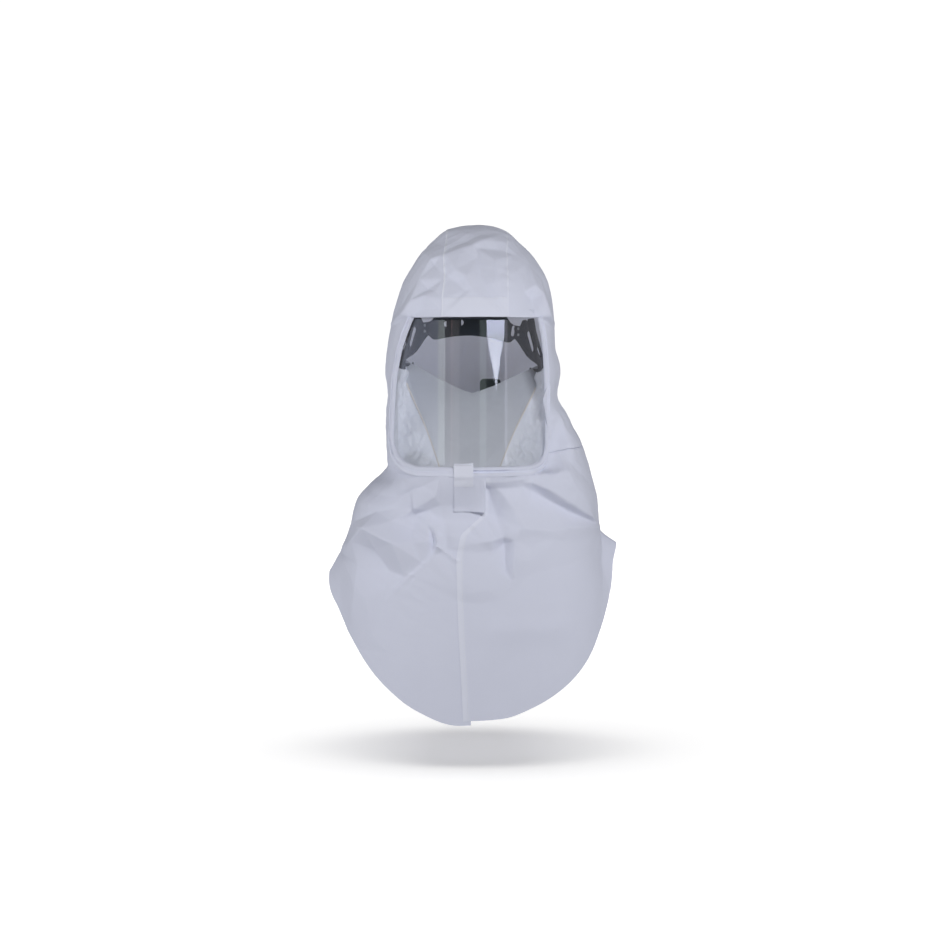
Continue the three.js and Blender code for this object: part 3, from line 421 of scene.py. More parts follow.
def window_edge(step):
    down = CHIN + (BROW - CHIN) * (1 - np.linspace(0, 1, 400)) ** 2
    along = np.linspace(WINDOW[-1]["left"], WINDOW[-1]["right"], 60)[1:-1]
    s = np.concatenate([window_left(down), along, window_right(down[::-1])])
    z = np.concatenate([down, np.full(len(along), float(CHIN)), down[::-1]])
    far = run_of(s, z)
    even = np.linspace(0, far[-1], int(far[-1] / step))
    s, z = np.interp(even, far, s), np.interp(even, far, z)
    for _ in range(EDGE_SMOOTH):
        s[1:-1] = (s[:-2] + 2 * s[1:-1] + s[2:]) / 4
        z[1:-1] = (z[:-2] + 2 * z[1:-1] + z[2:]) / 4
    ds, dz = np.gradient(s), np.gradient(z)
    long = np.hypot(ds, dz)
    out_s, out_z = dz / long, -ds / long
    square = ease((BROW - z) / BROW_SQUARE)
    out_s, out_z = lerp(np.sign(out_s), out_s, square), out_z * square
    return s, z, out_s, out_z, lerp(BIND_SIDE, BIND_LOW, out_z**2)


EDGE = window_edge(EDGE_STEP)


def rim(grow):
    s, z, out_s, out_z, wide = EDGE
    return s + out_s * (wide + grow), z + out_z * (wide + grow)


RIM_S, RIM_Z = rim(BIND_EASE)
CHIN_RIM = RIM_Z.min()
RIM_LEVEL = CHIN_RIM + 0.4  # the rim counts as level below this
LOW_LEFT = np.argmax(RIM_Z < RIM_LEVEL)
LOW_RIGHT = len(RIM_Z) - 1 - np.argmax(RIM_Z[::-1] < RIM_LEVEL)


def rim_left(z):
    return np.interp(z, RIM_Z[LOW_LEFT::-1], RIM_S[LOW_LEFT::-1])


def rim_right(z):
    return np.interp(z, RIM_Z[LOW_RIGHT:], RIM_S[LOW_RIGHT:])


def skin(angle, z):
    """The cloth's section, drawn to the visor's curve around the window."""
    p = ring(angle, z)
    near_z = np.clip(z + 0 * p[..., 0], CHIN_RIM, BROW)
    left, right = visor_x(rim_left(near_z), near_z), visor_x(rim_right(near_z), near_z)
    near_x = np.clip(p[..., 0], left, right)
    near = ring(angle_at(near_x, near_z), near_z)
    pull = 1 - ease(np.linalg.norm(p - near, axis=-1) / REACH)
    p[..., 1] += (visor_y(near_x, near_z) - near[..., 1]) * pull
    return p


TURN_STEP = 0.004  # radians, for the cloth's slope
HIGH_STEP = 0.4


def skin_normal(angle, z):
    along = skin(angle + TURN_STEP, z) - skin(angle - TURN_STEP, z)
    up = skin(angle, np.minimum(z + HIGH_STEP, TOP - 0.001)) - skin(angle, z - HIGH_STEP)
    return unit(np.cross(along, up))


CREASE_DEPTH = 1.4  # the rises of the creases and folds are multiplied by this
CREASE_JOIN = 0.4  # crease ends closer than this are joined
RASTER = 200
FOLD_BACK = 10  # the folds have faded out here, front to back
FOLD_FADE = 50


def crease_map(lines):
    """Heights of the crease net on a millimetre raster of x and z, flat between the creases."""
    spots, rises, edges = [], [], []
    for line in lines:
        for i, (x, z, rise) in enumerate(line):
            spots.append(Vector((x, z)))
            rises.append(rise)
            if i:
                edges.append((len(spots) - 2, len(spots) - 1))
    verts, links, faces, sources = delaunay_2d_cdt(spots, edges, [], 0, CREASE_JOIN)[:4]
    height = np.array([rises[source[0]] if source else np.nan for source in sources])
    for i in np.flatnonzero(np.isnan(height)):
        beside = [b if a == i else a for a, b in links if i in (a, b)]
        height[i] = np.nanmean(height[beside])
    flat = np.zeros((2 * RASTER, 4 * RASTER))
    xs, zs = np.meshgrid(np.arange(2 * RASTER) - RASTER, np.arange(4 * RASTER) - 3 * RASTER, indexing="ij")
    points = np.array([(v.x, v.y) for v in verts])
    for face in faces:
        (ax, az), (bx, bz), (cx, cz) = points[list(face)]
        whole = (bx - ax) * (cz - az) - (cx - ax) * (bz - az)
        if abs(whole) < TINY:
            continue
        share_b = ((xs - ax) * (cz - az) - (cx - ax) * (zs - az)) / whole
        share_c = ((bx - ax) * (zs - az) - (xs - ax) * (bz - az)) / whole
        inside = (share_b > -TINY) & (share_c > -TINY) & (share_b + share_c < 1 + TINY)
        ha, hb, hc = height[list(face)]
        flat[inside] = (ha + (hb - ha) * share_b + (hc - ha) * share_c)[inside]
    flat[1:-1] = (flat[:-2] + 2 * flat[1:-1] + flat[2:]) / 4
    flat[:, 1:-1] = (flat[:, :-2] + 2 * flat[:, 1:-1] + flat[:, 2:]) / 4
    return flat


CREASE_MAP = crease_map(CREASES.values())


def creases(x, z):
    """The crease net's height at points, between the raster's four nearest."""
    i = np.clip(x + RASTER, 0, 2 * RASTER - 1.001)
    j = np.clip(z + 3 * RASTER, 0, 4 * RASTER - 1.001)
    low_i, low_j = i.astype(int), j.astype(int)
    t, w = i - low_i, j - low_j
    near = lerp(CREASE_MAP[low_i, low_j], CREASE_MAP[low_i + 1, low_j], t)
    far = lerp(CREASE_MAP[low_i, low_j + 1], CREASE_MAP[low_i + 1, low_j + 1], t)
    return lerp(near, far, w)


def folds(p):
    """Height of the creases and soft folds at points of the cloth, fading out towards the back."""
    x, z = p[..., 0], p[..., 2]
    rise = creases(x, z)
    for f in FOLDS:
        dx, dz = f["x1"] - f["x0"], f["z1"] - f["z0"]
        long = math.hypot(dx, dz)
        along = ((x - f["x0"]) * dx + (z - f["z0"]) * dz) / long
        across = ((z - f["z0"]) * dx - (x - f["x0"]) * dz) / long
        t = np.clip(along / long, 0, 1)
        wide = np.where(across > 0, f["left"], f["right"])
        away = np.hypot(across / wide, (along - t * long) / ((f["left"] + f["right"]) / 2))
        rise = rise + lerp(f["rise0"], f["rise1"], t) * np.exp(-(away ** f["sharp"]))
    return rise * CREASE_DEPTH * ease((FOLD_BACK - p[..., 1]) / FOLD_FADE)


def crinkle(p, size, seed):
    """Creased noise: flat facets between thin ridges."""
    return 0.5 - np.abs(noise(p, size, seed)) * 2


CALM = {"below": -215, "over": 60, "less": 0.75}  # the bib is calmer than the hood
CHEEK = {"x": 100, "z": -110, "wide": 22, "tall": 42}
CHEEK_MORE = 2.8  # fine wrinkles beside the window
CHEST = {"x": -70, "z": -325, "wide": 22, "tall": 34}
# How much the pattern of each kind of wrinkle is stretched along x, y and z; less than 1 is longer
BROAD_STRETCH = np.array([1, 1, 0.6])
FINE_STRETCH = np.array([1, 1, 0.7])
CHEST_STRETCH = np.array([0.6, 1, 1])


def patch_at(place, x, z):
    """A soft round patch, 1 in its middle."""
    return bell(x - place["x"], place["wide"]) * bell(z - place["z"], place["tall"])


def wrinkles(p):
    x, y, z = np.moveaxis(p, -1, 0)
    calm = 1 - CALM["less"] * ease((CALM["below"] - z) / CALM["over"])
    broad = 0.9 * noise(p * BROAD_STRETCH, 46, 1)
    fine = 0.4 * crinkle(p * FINE_STRETCH, 24, 2) + 0.13 * crinkle(p, 11, 3)
    chest = 0.7 * crinkle(p * CHEST_STRETCH, 14, 4) * patch_at(CHEST, x, z) * (y < 0)
    return broad * calm + fine * (calm + CHEEK_MORE * patch_at(CHEEK, np.abs(x), z)) + chest


# Meshes
def grid_normals(grid, guide):
    along = np.gradient(grid, axis=0)
    across = np.gradient(grid, axis=1)
    n = np.cross(along, across)
    long = np.linalg.norm(n, axis=-1, keepdims=True)
    n = np.where(long > 1e-9, n / np.maximum(long, 1e-9), guide)
    return n * np.where((n * guide).sum(-1, keepdims=True) < 0, -1, 1)


def sheet_faces(rows, cols):
    at = np.arange(rows * cols).reshape(rows, cols)
    front = np.stack([at[:-1, :-1], at[1:, :-1], at[1:, 1:], at[:-1, 1:]], -1).reshape(-1, 4)
    back = front[:, ::-1] + rows * cols
    border = np.concatenate([at[:, 0], at[-1, 1:], at[-2::-1, -1], at[0, -2:0:-1]])
    after = np.roll(border, -1)
    sides = np.stack([after, border, border + rows * cols, after + rows * cols], -1)
    return np.concatenate([front, back, sides])


def make_piece(name, points, faces, material, smooth=50):
    """A mesh of the part from millimetre points, with its faces turned outwards."""
    points = np.asarray(points, float).reshape(-1, 3)
    a, b, c = (points[faces[:, i]] for i in range(3))
    d = points[faces[:, -1]]
    volume = (a * np.cross(b, c)).sum() + (a * np.cross(c, d)).sum()
    if volume < 0:
        faces = faces[:, ::-1]
    mesh = bpy.data.meshes.new(name)
    mesh.from_pydata(in_metres(points).tolist(), [], faces.tolist())
    mesh.update()
    mesh.polygons.foreach_set("use_smooth", np.ones(len(mesh.polygons), bool))
    mesh.set_sharp_from_angle(angle=math.radians(smooth))
    mesh.materials.append(material)
    piece = bpy.data.objects.new(name, mesh)
    bpy.context.scene.collection.objects.link(piece)
    return piece


def sheet_piece(name, grid, guide, thick, material, doubled=None):
    """A sheet of even thickness on a grid; doubled, from 0 to 1, is where its cloth lies double."""
    n = grid_normals(grid, guide)
    points = np.concatenate([(grid + n * thick / 2).reshape(-1, 3), (grid - n * thick / 2).reshape(-1, 3)])
    piece = make_piece(name, points, sheet_faces(*grid.shape[:2]), material)
    half = len(points) // 2
    # inner marks the sheet's inner face, which the hood cloth's finish paints with a glow for light coming
    # through it
    values = {"inner": np.repeat([0, 1], half)}
    if doubled is not None:
        values["doubled"] = np.tile(doubled.reshape(-1), 2)
    for key, value in values.items():
        piece.data.attributes.new(key, "FLOAT", "POINT").data.foreach_set("value", value.astype(np.float32))
    return piece


def line_on(grid, n, value, level, lift):
    """Where a value that grows along a grid's first axis reaches a level, lifted off the surface."""
    i = np.clip((value < level).sum(axis=0), 1, len(value) - 1)
    j = np.arange(value.shape[1])
    t = (level - value[i - 1, j]) / (value[i, j] - value[i - 1, j])
    return lerp(grid[i - 1, j], grid[i, j], t[:, None]) + n[i, j] * lift


def bar_piece(name, outlines, material, smooth):
    """A closed bar through a row of outlines, with its ends capped."""
    count, n = outlines.shape[:2]
    at = np.arange(count * n).reshape(count, n)
    turn = np.roll(at, -1, axis=1)
    walls = np.stack([at[:-1], turn[:-1], turn[1:], at[1:]], -1).reshape(-1, 4)
    points = np.concatenate([outlines.reshape(-1, 3), outlines[[0, -1]].mean(axis=1)])
    first, last = count * n, count * n + 1
    caps = [(turn[0, i], at[0, i], first, first) for i in range(n)]
    caps += [(at[-1, i], turn[-1, i], last, last) for i in range(n)]
    piece = make_piece(name, points, np.concatenate([walls, np.array(caps)]), material, smooth)
    edit = bmesh.new()
    edit.from_mesh(piece.data)
    bmesh.ops.remove_doubles(edit, verts=edit.verts, dist=1e-7)
    edit.to_mesh(piece.data)
    edit.free()
    return piece


def run_length(grid, axis, from_end=False):
    """Distance of each grid point from one edge, along the rows or columns."""
    step = np.linalg.norm(np.diff(grid, axis=axis), axis=-1)
    zero = np.zeros_like(np.take(step, [0], axis=axis))
    if from_end:
        return np.flip(np.cumsum(np.concatenate([zero, np.flip(step, axis)], axis), axis), axis)
    return np.cumsum(np.concatenate([zero, step], axis), axis)


# Shader maths
class Sock:
    """A socket of a material's tree that takes part in expressions."""

    def __init__(self, tree, socket=None):
        self.tree = tree
        self.socket = socket

    def node(self, kind, settings=None, sockets=None, out=0):
        made = self.tree.nodes.new(kind)
        for key, value in (settings or {}).items():
            setattr(made, key, value)
        for key, value in (sockets or {}).items():
            if isinstance(value, Sock):
                self.tree.links.new(value.socket, made.inputs[key])
            else:
                made.inputs[key].default_value = value
        return Sock(self.tree, made.outputs[out])

    def math(self, operation, first, second):
        return self.node("ShaderNodeMath", {"operation": operation}, {0: first, 1: second})

    def __add__(self, other):
        return self.math("ADD", self, other)

    def __sub__(self, other):
        return self.math("SUBTRACT", self, other)

    def __mul__(self, other):
        return self.math("MULTIPLY", self, other)

    def __pow__(self, other):
        return self.math("POWER", self, other)

    __radd__ = __add__


def make_material(name, build):
    material = bpy.data.materials.new(name)
    material.use_nodes = True
    tree = material.node_tree
    tree.nodes.clear()
    place = Sock(tree).node("ShaderNodeTexCoord", out="Object")
    shader = build(place)
    end = tree.nodes.new("ShaderNodeOutputMaterial")
    tree.links.new(shader.socket, end.inputs["Surface"])
    return material


def mix_colour(place, share, first, second):
    return place.node("ShaderNodeMix", {"data_type": "RGBA"}, {0: share, 6: first, 7: second}, out=2)


def noise_of(place, scale, detail, rough=0.5):
    given = {"Vector": place, "Scale": scale, "Detail": detail, "Roughness": rough}
    return place.node("ShaderNodeTexNoise", sockets=given)


def bump_of(place, strength, depth, height):
    given = {"Strength": strength, "Distance": depth, "Height": height}
    return place.node("ShaderNodeBump", sockets=given)


def range_of(place, value, start, end, first=0.0, last=1.0):
    """A value's place between start and end, carried to first and last."""
    given = {"Value": value, "From Min": start, "From Max": end, "To Min": first, "To Max": last}
    return place.node("ShaderNodeMapRange", sockets=given)


def attribute_of(place, name):
    return place.node("ShaderNodeAttribute", {"attribute_name": name}, out="Fac")


DOUBLED = (0.89, 0.91, 1.0, 1)  # cloth that lies double
DARK = (0, 0, 0, 1)
PAINTED_INNER_GLOW = (0.043, 0.042, 0.038, 1)  # painted glow on the cloth's inner face, standing in for light that comes through the thin cloth
FIBRE = {"scale": 420, "detail": 3, "rough": 0.65}
BOND_DEPTH = 0.0004


def bonded_cloth(pale, deep, rough, bump, through=DARK):
    """White non-woven cloth: mottled fibres, bonded in small points, and a painted glow on its inner face
    for the light coming through it.
    """

    def build(place):
        mottle = noise_of(place, 28, 3)
        fibre = noise_of(place, **FIBRE)
        points = place.node("ShaderNodeTexVoronoi", sockets={"Vector": place, "Scale": 620.0})
        tone = mottle * 0.65 + fibre * 0.35
        single = mix_colour(place, tone, deep, pale)
        colour = mix_colour(place, attribute_of(place, "doubled") * 0.8, single, DOUBLED)
        height = points * 0.45 + fibre * 0.6
        return place.node(
            "ShaderNodeBsdfPrincipled",
            sockets={
                "Base Color": colour,
                "Roughness": rough + fibre * 0.12,
                "Normal": bump_of(place, bump, BOND_DEPTH, height),
                # only the inner face gets the painted glow, which stands in for light coming through the
                # cloth
                "Emission Color": mix_colour(place, attribute_of(place, "inner"), DARK, through),
                "Emission Strength": 1.0,
                "Sheen Weight": 0.1,
                "Sheen Roughness": 0.5,
                "Specular IOR Level": 0.3,
            },
        )

    return build


# The seal's centre panel has painted shade, deepening from the lower height to the upper one
SEAL_PALE_Z = -0.165  # metres
SEAL_SHADE_Z = -0.08


def shaded_seal_film(place):
    """Thin seal cloth with painted shade: darker than the other seal cloth, and greyer towards its upper
    edge, which the brow shades.
    """
    tall = place.node("ShaderNodeSeparateXYZ", sockets={0: place}, out=2)
    # share of the painted shade, growing upwards
    high = range_of(place, tall, SEAL_PALE_Z, SEAL_SHADE_Z)
    fibre = noise_of(place, **FIBRE)
    pale = mix_colour(place, fibre, (0.66, 0.68, 0.75, 1), (0.71, 0.73, 0.80, 1))
    painted_shade = mix_colour(place, fibre, (0.45, 0.47, 0.525, 1), (0.49, 0.51, 0.565, 1))
    return place.node(
        "ShaderNodeBsdfPrincipled",
        sockets={
            "Base Color": mix_colour(place, high, pale, painted_shade),
            "Roughness": 0.6 + fibre * 0.1,
            "Normal": bump_of(place, 0.2, BOND_DEPTH, fibre),
        },
    )


def moulded_plastic(base, worn, rough):
    """Satin moulded plastic with a fine grain and slightly worn patches."""

    def build(place):
        grain = noise_of(place, 900, 2)
        patch = noise_of(place, 60, 3)
        colour = mix_colour(place, patch, base, worn)
        normal = bump_of(place, 0.12, 0.0002, grain)
        return place.node(
            "ShaderNodeBsdfPrincipled",
            sockets={"Base Color": colour, "Roughness": rough + patch * 0.12, "Normal": normal},
        )

    return build


MIRROR_FRONT = 0.035  # share of light that the film mirrors, looking straight at it
MIRROR_EDGE = 0.5  # and more at its edges


def clear_film(place):
    """Clear visor film with faint upright ripples, mirroring more towards its edges."""
    tall = place.node("ShaderNodeMapping", sockets={"Vector": place, "Scale": (1, 1, 0.12)})
    ripple = bump_of(place, 0.05, 0.001, noise_of(tall, 55, 2))
    given = {"Color": (1, 1, 1, 1), "Roughness": 0.04, "Normal": ripple}
    gloss = place.node("ShaderNodeBsdfAnisotropic", sockets=given)
    clear = place.node("ShaderNodeBsdfTransparent", sockets={"Color": (0.95, 0.955, 0.96, 1)})
    facing = place.node("ShaderNodeLayerWeight", sockets={"Blend": 0.5}, out="Facing")
    mirrored = facing**4 * MIRROR_EDGE + MIRROR_FRONT
    return place.node("ShaderNodeMixShader", sockets={0: mirrored, 1: clear, 2: gloss})


# Finishes of the cloths: pale and deep tint, roughness and the depth of the bonded points
# the hood cloth has a painted glow on its inner face
CLOTH_LOOK = make_material(
    "bonded_cloth", bonded_cloth((0.735, 0.757, 0.885, 1), (0.69, 0.712, 0.835, 1), 0.62, 0.2, PAINTED_INNER_GLOW)
)
SEAL_LOOK = make_material(
    "seal_cloth", bonded_cloth((0.80, 0.82, 0.90, 1), (0.74, 0.76, 0.84, 1), 0.6, 0.25)
)
# the seal's centre panel is painted darker, with painted shade from the brow above it
SEAL_CENTRE_SHADED_LOOK = make_material("seal_centre_cloth", shaded_seal_film)
TAPE_LOOK = make_material(
    "white_tape", bonded_cloth((0.77, 0.79, 0.90, 1), (0.74, 0.76, 0.87, 1), 0.45, 0.1)
)
TAN_LOOK = make_material("tan_seam", bonded_cloth((0.75, 0.71, 0.67, 1), (0.68, 0.63, 0.58, 1), 0.7, 0.4))
THREAD_LOOK = make_material(
    "white_thread", bonded_cloth((0.80, 0.81, 0.86, 1), (0.74, 0.75, 0.81, 1), 0.6, 0.3)
)
# Finishes of the plastics: tint, tint where worn, roughness
DARK_LOOK = make_material(
    "dark_plastic", moulded_plastic((0.010, 0.013, 0.019, 1), (0.018, 0.022, 0.031, 1), 0.36)
)
GREEN_LOOK = make_material(
    "housing_plastic", moulded_plastic((0.028, 0.036, 0.033, 1), (0.04, 0.05, 0.045, 1), 0.4)
)
RIVET_LOOK = make_material("pale_rivet", moulded_plastic((0.20, 0.21, 0.23, 1), (0.26, 0.27, 0.30, 1), 0.3))
CLEAR_LOOK = make_material("clear_film", clear_film)


# Rows of stitches, one bead to a stitch
stitch_lines = {}
STITCH_SIZES = ("Pitch", "Thick", "Long")


def stitch_nodes():
    tree = bpy.data.node_groups.new("stitch_row", "GeometryNodeTree")
    tree.interface.new_socket("Line", in_out="INPUT", socket_type="NodeSocketGeometry")
    for name in STITCH_SIZES:
        tree.interface.new_socket(name, in_out="INPUT", socket_type="NodeSocketFloat")
    tree.interface.new_socket("Thread", in_out="INPUT", socket_type="NodeSocketMaterial")
    tree.interface.new_socket("Stitches", in_out="OUTPUT", socket_type="NodeSocketGeometry")
    start = Sock(tree)

    def given(name):
        return start.node("NodeGroupInput", out=name)

    line = start.node("GeometryNodeMeshToCurve", sockets={"Mesh": given("Line")})
    pitch = {"Curve": line, "Length": given("Pitch")}
    spots = start.node("GeometryNodeCurveToPoints", {"mode": "LENGTH"}, pitch)
    turn = Sock(tree, spots.socket.node.outputs["Rotation"])
    bead = start.node("GeometryNodeMeshUVSphere", sockets={"Segments": 8, "Rings": 5, "Radius": 0.5})
    thick = given("Thick")
    size = start.node("ShaderNodeCombineXYZ", sockets={0: thick, 1: thick, 2: given("Long")})
    beads = {"Points": spots, "Instance": bead, "Rotation": turn, "Scale": size}
    row = start.node("GeometryNodeInstanceOnPoints", sockets=beads)
    real = start.node("GeometryNodeRealizeInstances", sockets={"Geometry": row})
    smooth = start.node("GeometryNodeSetShadeSmooth", sockets={"Geometry": real})
    done = start.node("GeometryNodeSetMaterial", sockets={"Geometry": smooth, "Material": given("Thread")})
    end = tree.nodes.new("NodeGroupOutput")
    tree.links.new(done.socket, end.inputs["Stitches"])
    return tree


STITCH_NODES = stitch_nodes()
STITCHES = table("name thread pitch thick long", [
    ("stitches_brow", THREAD_LOOK, 3.2, 0.4, 2.2),
    ("stitches_front", THREAD_LOOK, 3.4, 0.4, 2.4),
    ("stitches_binding", THREAD_LOOK, 3.0, 0.5, 2.0),
    ("stitches_seal_left", TAN_LOOK, 3.4, 0.7, 2.0),
    ("stitches_seal_right", TAN_LOOK, 3.4, 0.7, 2.0),
])


def stitch_row(row):
    points = in_metres(stitch_lines[row["name"]])
    mesh = bpy.data.meshes.new(row["name"])
    mesh.from_pydata(points.tolist(), [(i, i + 1) for i in range(len(points) - 1)], [])
    piece = bpy.data.objects.new(row["name"], mesh)
    bpy.context.scene.collection.objects.link(piece)
    stitching = piece.modifiers.new("stitches", "NODES")
    stitching.node_group = STITCH_NODES
    given = {name: row[name.lower()] * MM for name in STITCH_SIZES}
    for name, value in {**given, "Thread": row["thread"]}.items():
        stitching[STITCH_NODES.interface.items_tree[name].identifier] = value
    bpy.context.view_layer.update()
    done = bpy.data.meshes.new_from_object(piece.evaluated_get(bpy.context.evaluated_depsgraph_get()))
    piece.modifiers.clear()
    piece.data = done
    return piece


# Cloth panels
PANEL_ROUND = 115  # radius that carries a panel's angles to lengths
FIRST_HOLD = 4  # the higher, the closer to the edge a panel is drawn to its first line
LAST_HOLD = 6


def even_line(rows, shares):
    """Angle and height at shares of the way along a line of [angle, height] rows."""
    rows = np.array(rows, float)
    far = run_of(rows[:, 0] * PANEL_ROUND, rows[:, 1])
    at = shares * far[-1]
    return np.interp(at, far, rows[:, 0]), np.interp(at, far, rows[:, 1])


def panel_angles(upper, lower, across, down, first=None, last=None, warp=1.0):
    """Angle, height and share of the way down of a panel's grid, from an upper to a lower line."""
    u = np.linspace(0, 1, across)
    v = np.linspace(0, 1, down)
    a0, z0 = even_line(upper, u**warp)
    a1, z1 = even_line(lower, u)
    z = lerp(z0[:, None], z1[:, None], v)
    angle = lerp(a0[:, None], a1[:, None], v)
    if first is not None:
        angle = angle + (first(z[0]) - angle[0]) * (1 - u[:, None]) ** FIRST_HOLD
    if last is not None:
        angle = angle + (last(z[-1]) - angle[-1]) * u[:, None] ** LAST_HOLD
    return angle, z, v + 0 * z


def lifted(angle, z, lift):
    """The cloth with its folds and wrinkles, raised by a lift, and the way that it faces."""
    base = skin(angle, z)
    n = skin_normal(angle, z)
    return base + n * (lift + folds(base) + wrinkles(base))[..., None], n


HALVINGS = 50


def ridge(x):
    """Height of the hood's top line at a place across it."""
    low = np.full_like(x, float(BROW))
    high = np.full_like(x, float(TOP))
    for _ in range(HALVINGS):
        z = (low + high) / 2
        middle, half = section(z)[:2]
        inside = np.abs(x - middle) < half
        low, high = np.where(inside, z, low), np.where(inside, high, z)
    return low


def crown_line(x, h):
    """Angle and height along the crown, from h = -1 at the brow over the top to h = 1 at the nape."""
    top = ridge(x)
    z = top - (top - np.where(h < 0, BROW, NAPE)) * h * h
    return angle_at(x, z, h > 0), z


PUCKER = {"rise": 0.45, "wave": 5.2, "sway": 2.5, "drift": 23, "reach": 8}


def pucker(p, away, seed):
    """Small gathers beside a stitched seam, the same on both of its sides."""
    along = p[..., 1] + p[..., 2]
    wave = np.sin(along / PUCKER["wave"] + PUCKER["sway"] * np.sin(along / PUCKER["drift"] + seed))
    return PUCKER["rise"] * wave * np.exp(-away / PUCKER["reach"])


HEM_RISE = 0.7
HEM_STEP = 1.6  # the hem's upper edge rises over this height
HEM_TINT = 0.27
HEM_STITCH = 2  # below the hem's upper edge
SEAM_RISE = 0.5
SEAM_WIDE = 1.5
SEAM_IN = 6
SEAM_BACK = 2.5  # the left seam comes back out this much sooner behind the top
SEAM_GAP = 0.03
SEAM_STEPS = np.array([0, 0.4, 0.8, 1.2, 1.7, 2.4, 3.4])  # closer points beside a seam
SEAM_TINT = 1.3  # width of the doubled cloth at a seam
SEAM_TINT_RIGHT = 1.2  # the same on the crown panel's right edge
RIGHT_RISE = 0.4  # the right seam is flatter and paler than the left one
RIGHT_TINT = 0.5


def seam_half(side, h):
    """Half the crown panel's width: its left edge runs closer in towards the top of the hood."""
    if side > 0:
        return CROWN_HALF + 0 * h
    return CROWN_HALF - SEAM_IN * np.maximum(1 - np.where(h < 0, -h, SEAM_BACK * h), 0)


def crown_panel():
    h = np.concatenate([np.linspace(-1, 0, 120)[:-1], np.linspace(0, 1, 160)])[:, None]
    edge = 1 - SEAM_STEPS / CROWN_HALF
    b = np.concatenate([-edge, np.linspace(-0.88, 0.88, 46), edge[::-1]])
    x = b * (np.where(b < 0, seam_half(-1, h), seam_half(1, h)) - SEAM_GAP)
    angle, z = crown_line(x, h + 0 * x)
    base = skin(angle, z)
    n = grid_normals(base, skin_normal(angle, z))
    left, right = run_length(base, 1), run_length(base, 1, True)
    seam = SEAM_RISE * (bell(left, SEAM_WIDE) + RIGHT_RISE * bell(right, SEAM_WIDE))
    gather = pucker(base, left, 1) + pucker(base, right, 2)
    hem_top = BROW + HEM_TALL
    in_hem = ease((hem_top - z) / HEM_STEP) * (h < 0)
    lift = folds(base) + wrinkles(base) + seam + gather + HEM_RISE * in_hem
    grid = base + n * lift[..., None]
    front = (h < 0).ravel()
    line = line_on(grid[front], n[front], z[front], hem_top - HEM_STITCH, CLOTH / 2)
    stitch_lines["stitches_brow"] = line[6:-6]
    doubled = np.maximum(bell(left, SEAM_TINT), RIGHT_TINT * bell(right, SEAM_TINT_RIGHT))
    doubled = np.maximum(doubled, HEM_TINT * in_hem)
    return sheet_piece("crown_panel_cloth", grid, n, CLOTH, CLOTH_LOOK, doubled)


neck_right = through(NECK_RIGHT, "turn", "z")
neck_left = through(NECK_LEFT, "turn", "z")


def neck_z(angle):
    turn = np.degrees(angle)
    return np.where(angle < 0, neck_left(turn), neck_right(turn))


SIDE_UNDER = 1.4  # the side panels' edge lies this far inside that line, under the binding
BIB_UNDER = 1.2  # and the bib's edge this far


def rim_angles(side, above):
    s, z = rim(BIND_EASE - SIDE_UNDER)
    keep = (np.sign(s) == side) & (z > above)
    s, z = s[keep], z[keep]
    rows = np.stack([angle_at(visor_x(s, z), z), z], -1)
    return rows if side < 0 else rows[::-1]


def neck_start(side):
    s = rim_left(NECK_START) if side < 0 else rim_right(NECK_START)
    return float(angle_at(visor_x(s, NECK_START), NECK_START))


def neck_rows(start, end, count):
    a = np.linspace(start, end, count)
    return np.stack([a, neck_z(a)], -1)


ARCH_START = 8  # a side panel's seam with the crown panel starts this far above the brow
HEM_HALF = 66
HEM_UNDER = -1.9  # the hem's turned-up layer lies behind the crown panel
HEM_LOW = 0.6  # the hem starts this far above the brow


def side_panel(side, name):
    x = side * (CROWN_HALF + SEAM_GAP)
    top = float(ridge(np.array([x]))[0])
    first = -math.sqrt((top - BROW - ARCH_START) / (top - BROW))
    last = math.sqrt((top - BACK_SPLIT) / (top - NAPE))
    h = np.linspace(first, last, 160)
    arch = np.stack(crown_line(side * (seam_half(side, h) + SEAM_GAP), h), -1)
    corner = rim_angles(side, NECK_START + 2)
    brow_start = crown_line(np.array(x), np.array(-1.0))[0]
    brow_turn = np.linspace(brow_start, corner[0, 0], 8)[:-1]
    brow = np.stack([brow_turn, np.full(len(brow_turn), BROW)], -1)
    end = float(angle_at(x, NAPE, True))
    neck = neck_rows(neck_start(side), end, 60)
    lower = np.concatenate([brow, corner, neck])
    angle, z, _ = panel_angles(arch, lower, 230, 120, None, lambda z: angle_at(x, z, True), 0.8)
    base = skin(angle, z)
    top_away, end_away = run_length(base, 1), run_length(base, 0, True)
    rise = SEAM_RISE if side < 0 else RIGHT_RISE * SEAM_RISE
    seam = rise * bell(top_away, SEAM_WIDE)
    seam = seam + rise * bell(end_away, SEAM_WIDE) * (z < BACK_SPLIT)
    grid, n = lifted(angle, z, seam + pucker(base, top_away, 1 if side < 0 else 2))
    doubled = (1 if side < 0 else RIGHT_TINT) * bell(top_away, SEAM_TINT)
    return sheet_piece(name, grid, n, CLOTH, CLOTH_LOOK, doubled)


def brow_hem():
    x = np.linspace(-HEM_HALF, HEM_HALF, 120)[:, None]
    z = np.linspace(BROW + HEM_TALL, BROW + HEM_LOW, 16)[None, :] + 0 * x
    angle = angle_at(x + 0 * z, z)
    grid, n = lifted(angle, z, HEM_UNDER + 0 * z)
    return sheet_piece("brow_hem_strip", grid, n, FILM, CLOTH_LOOK)


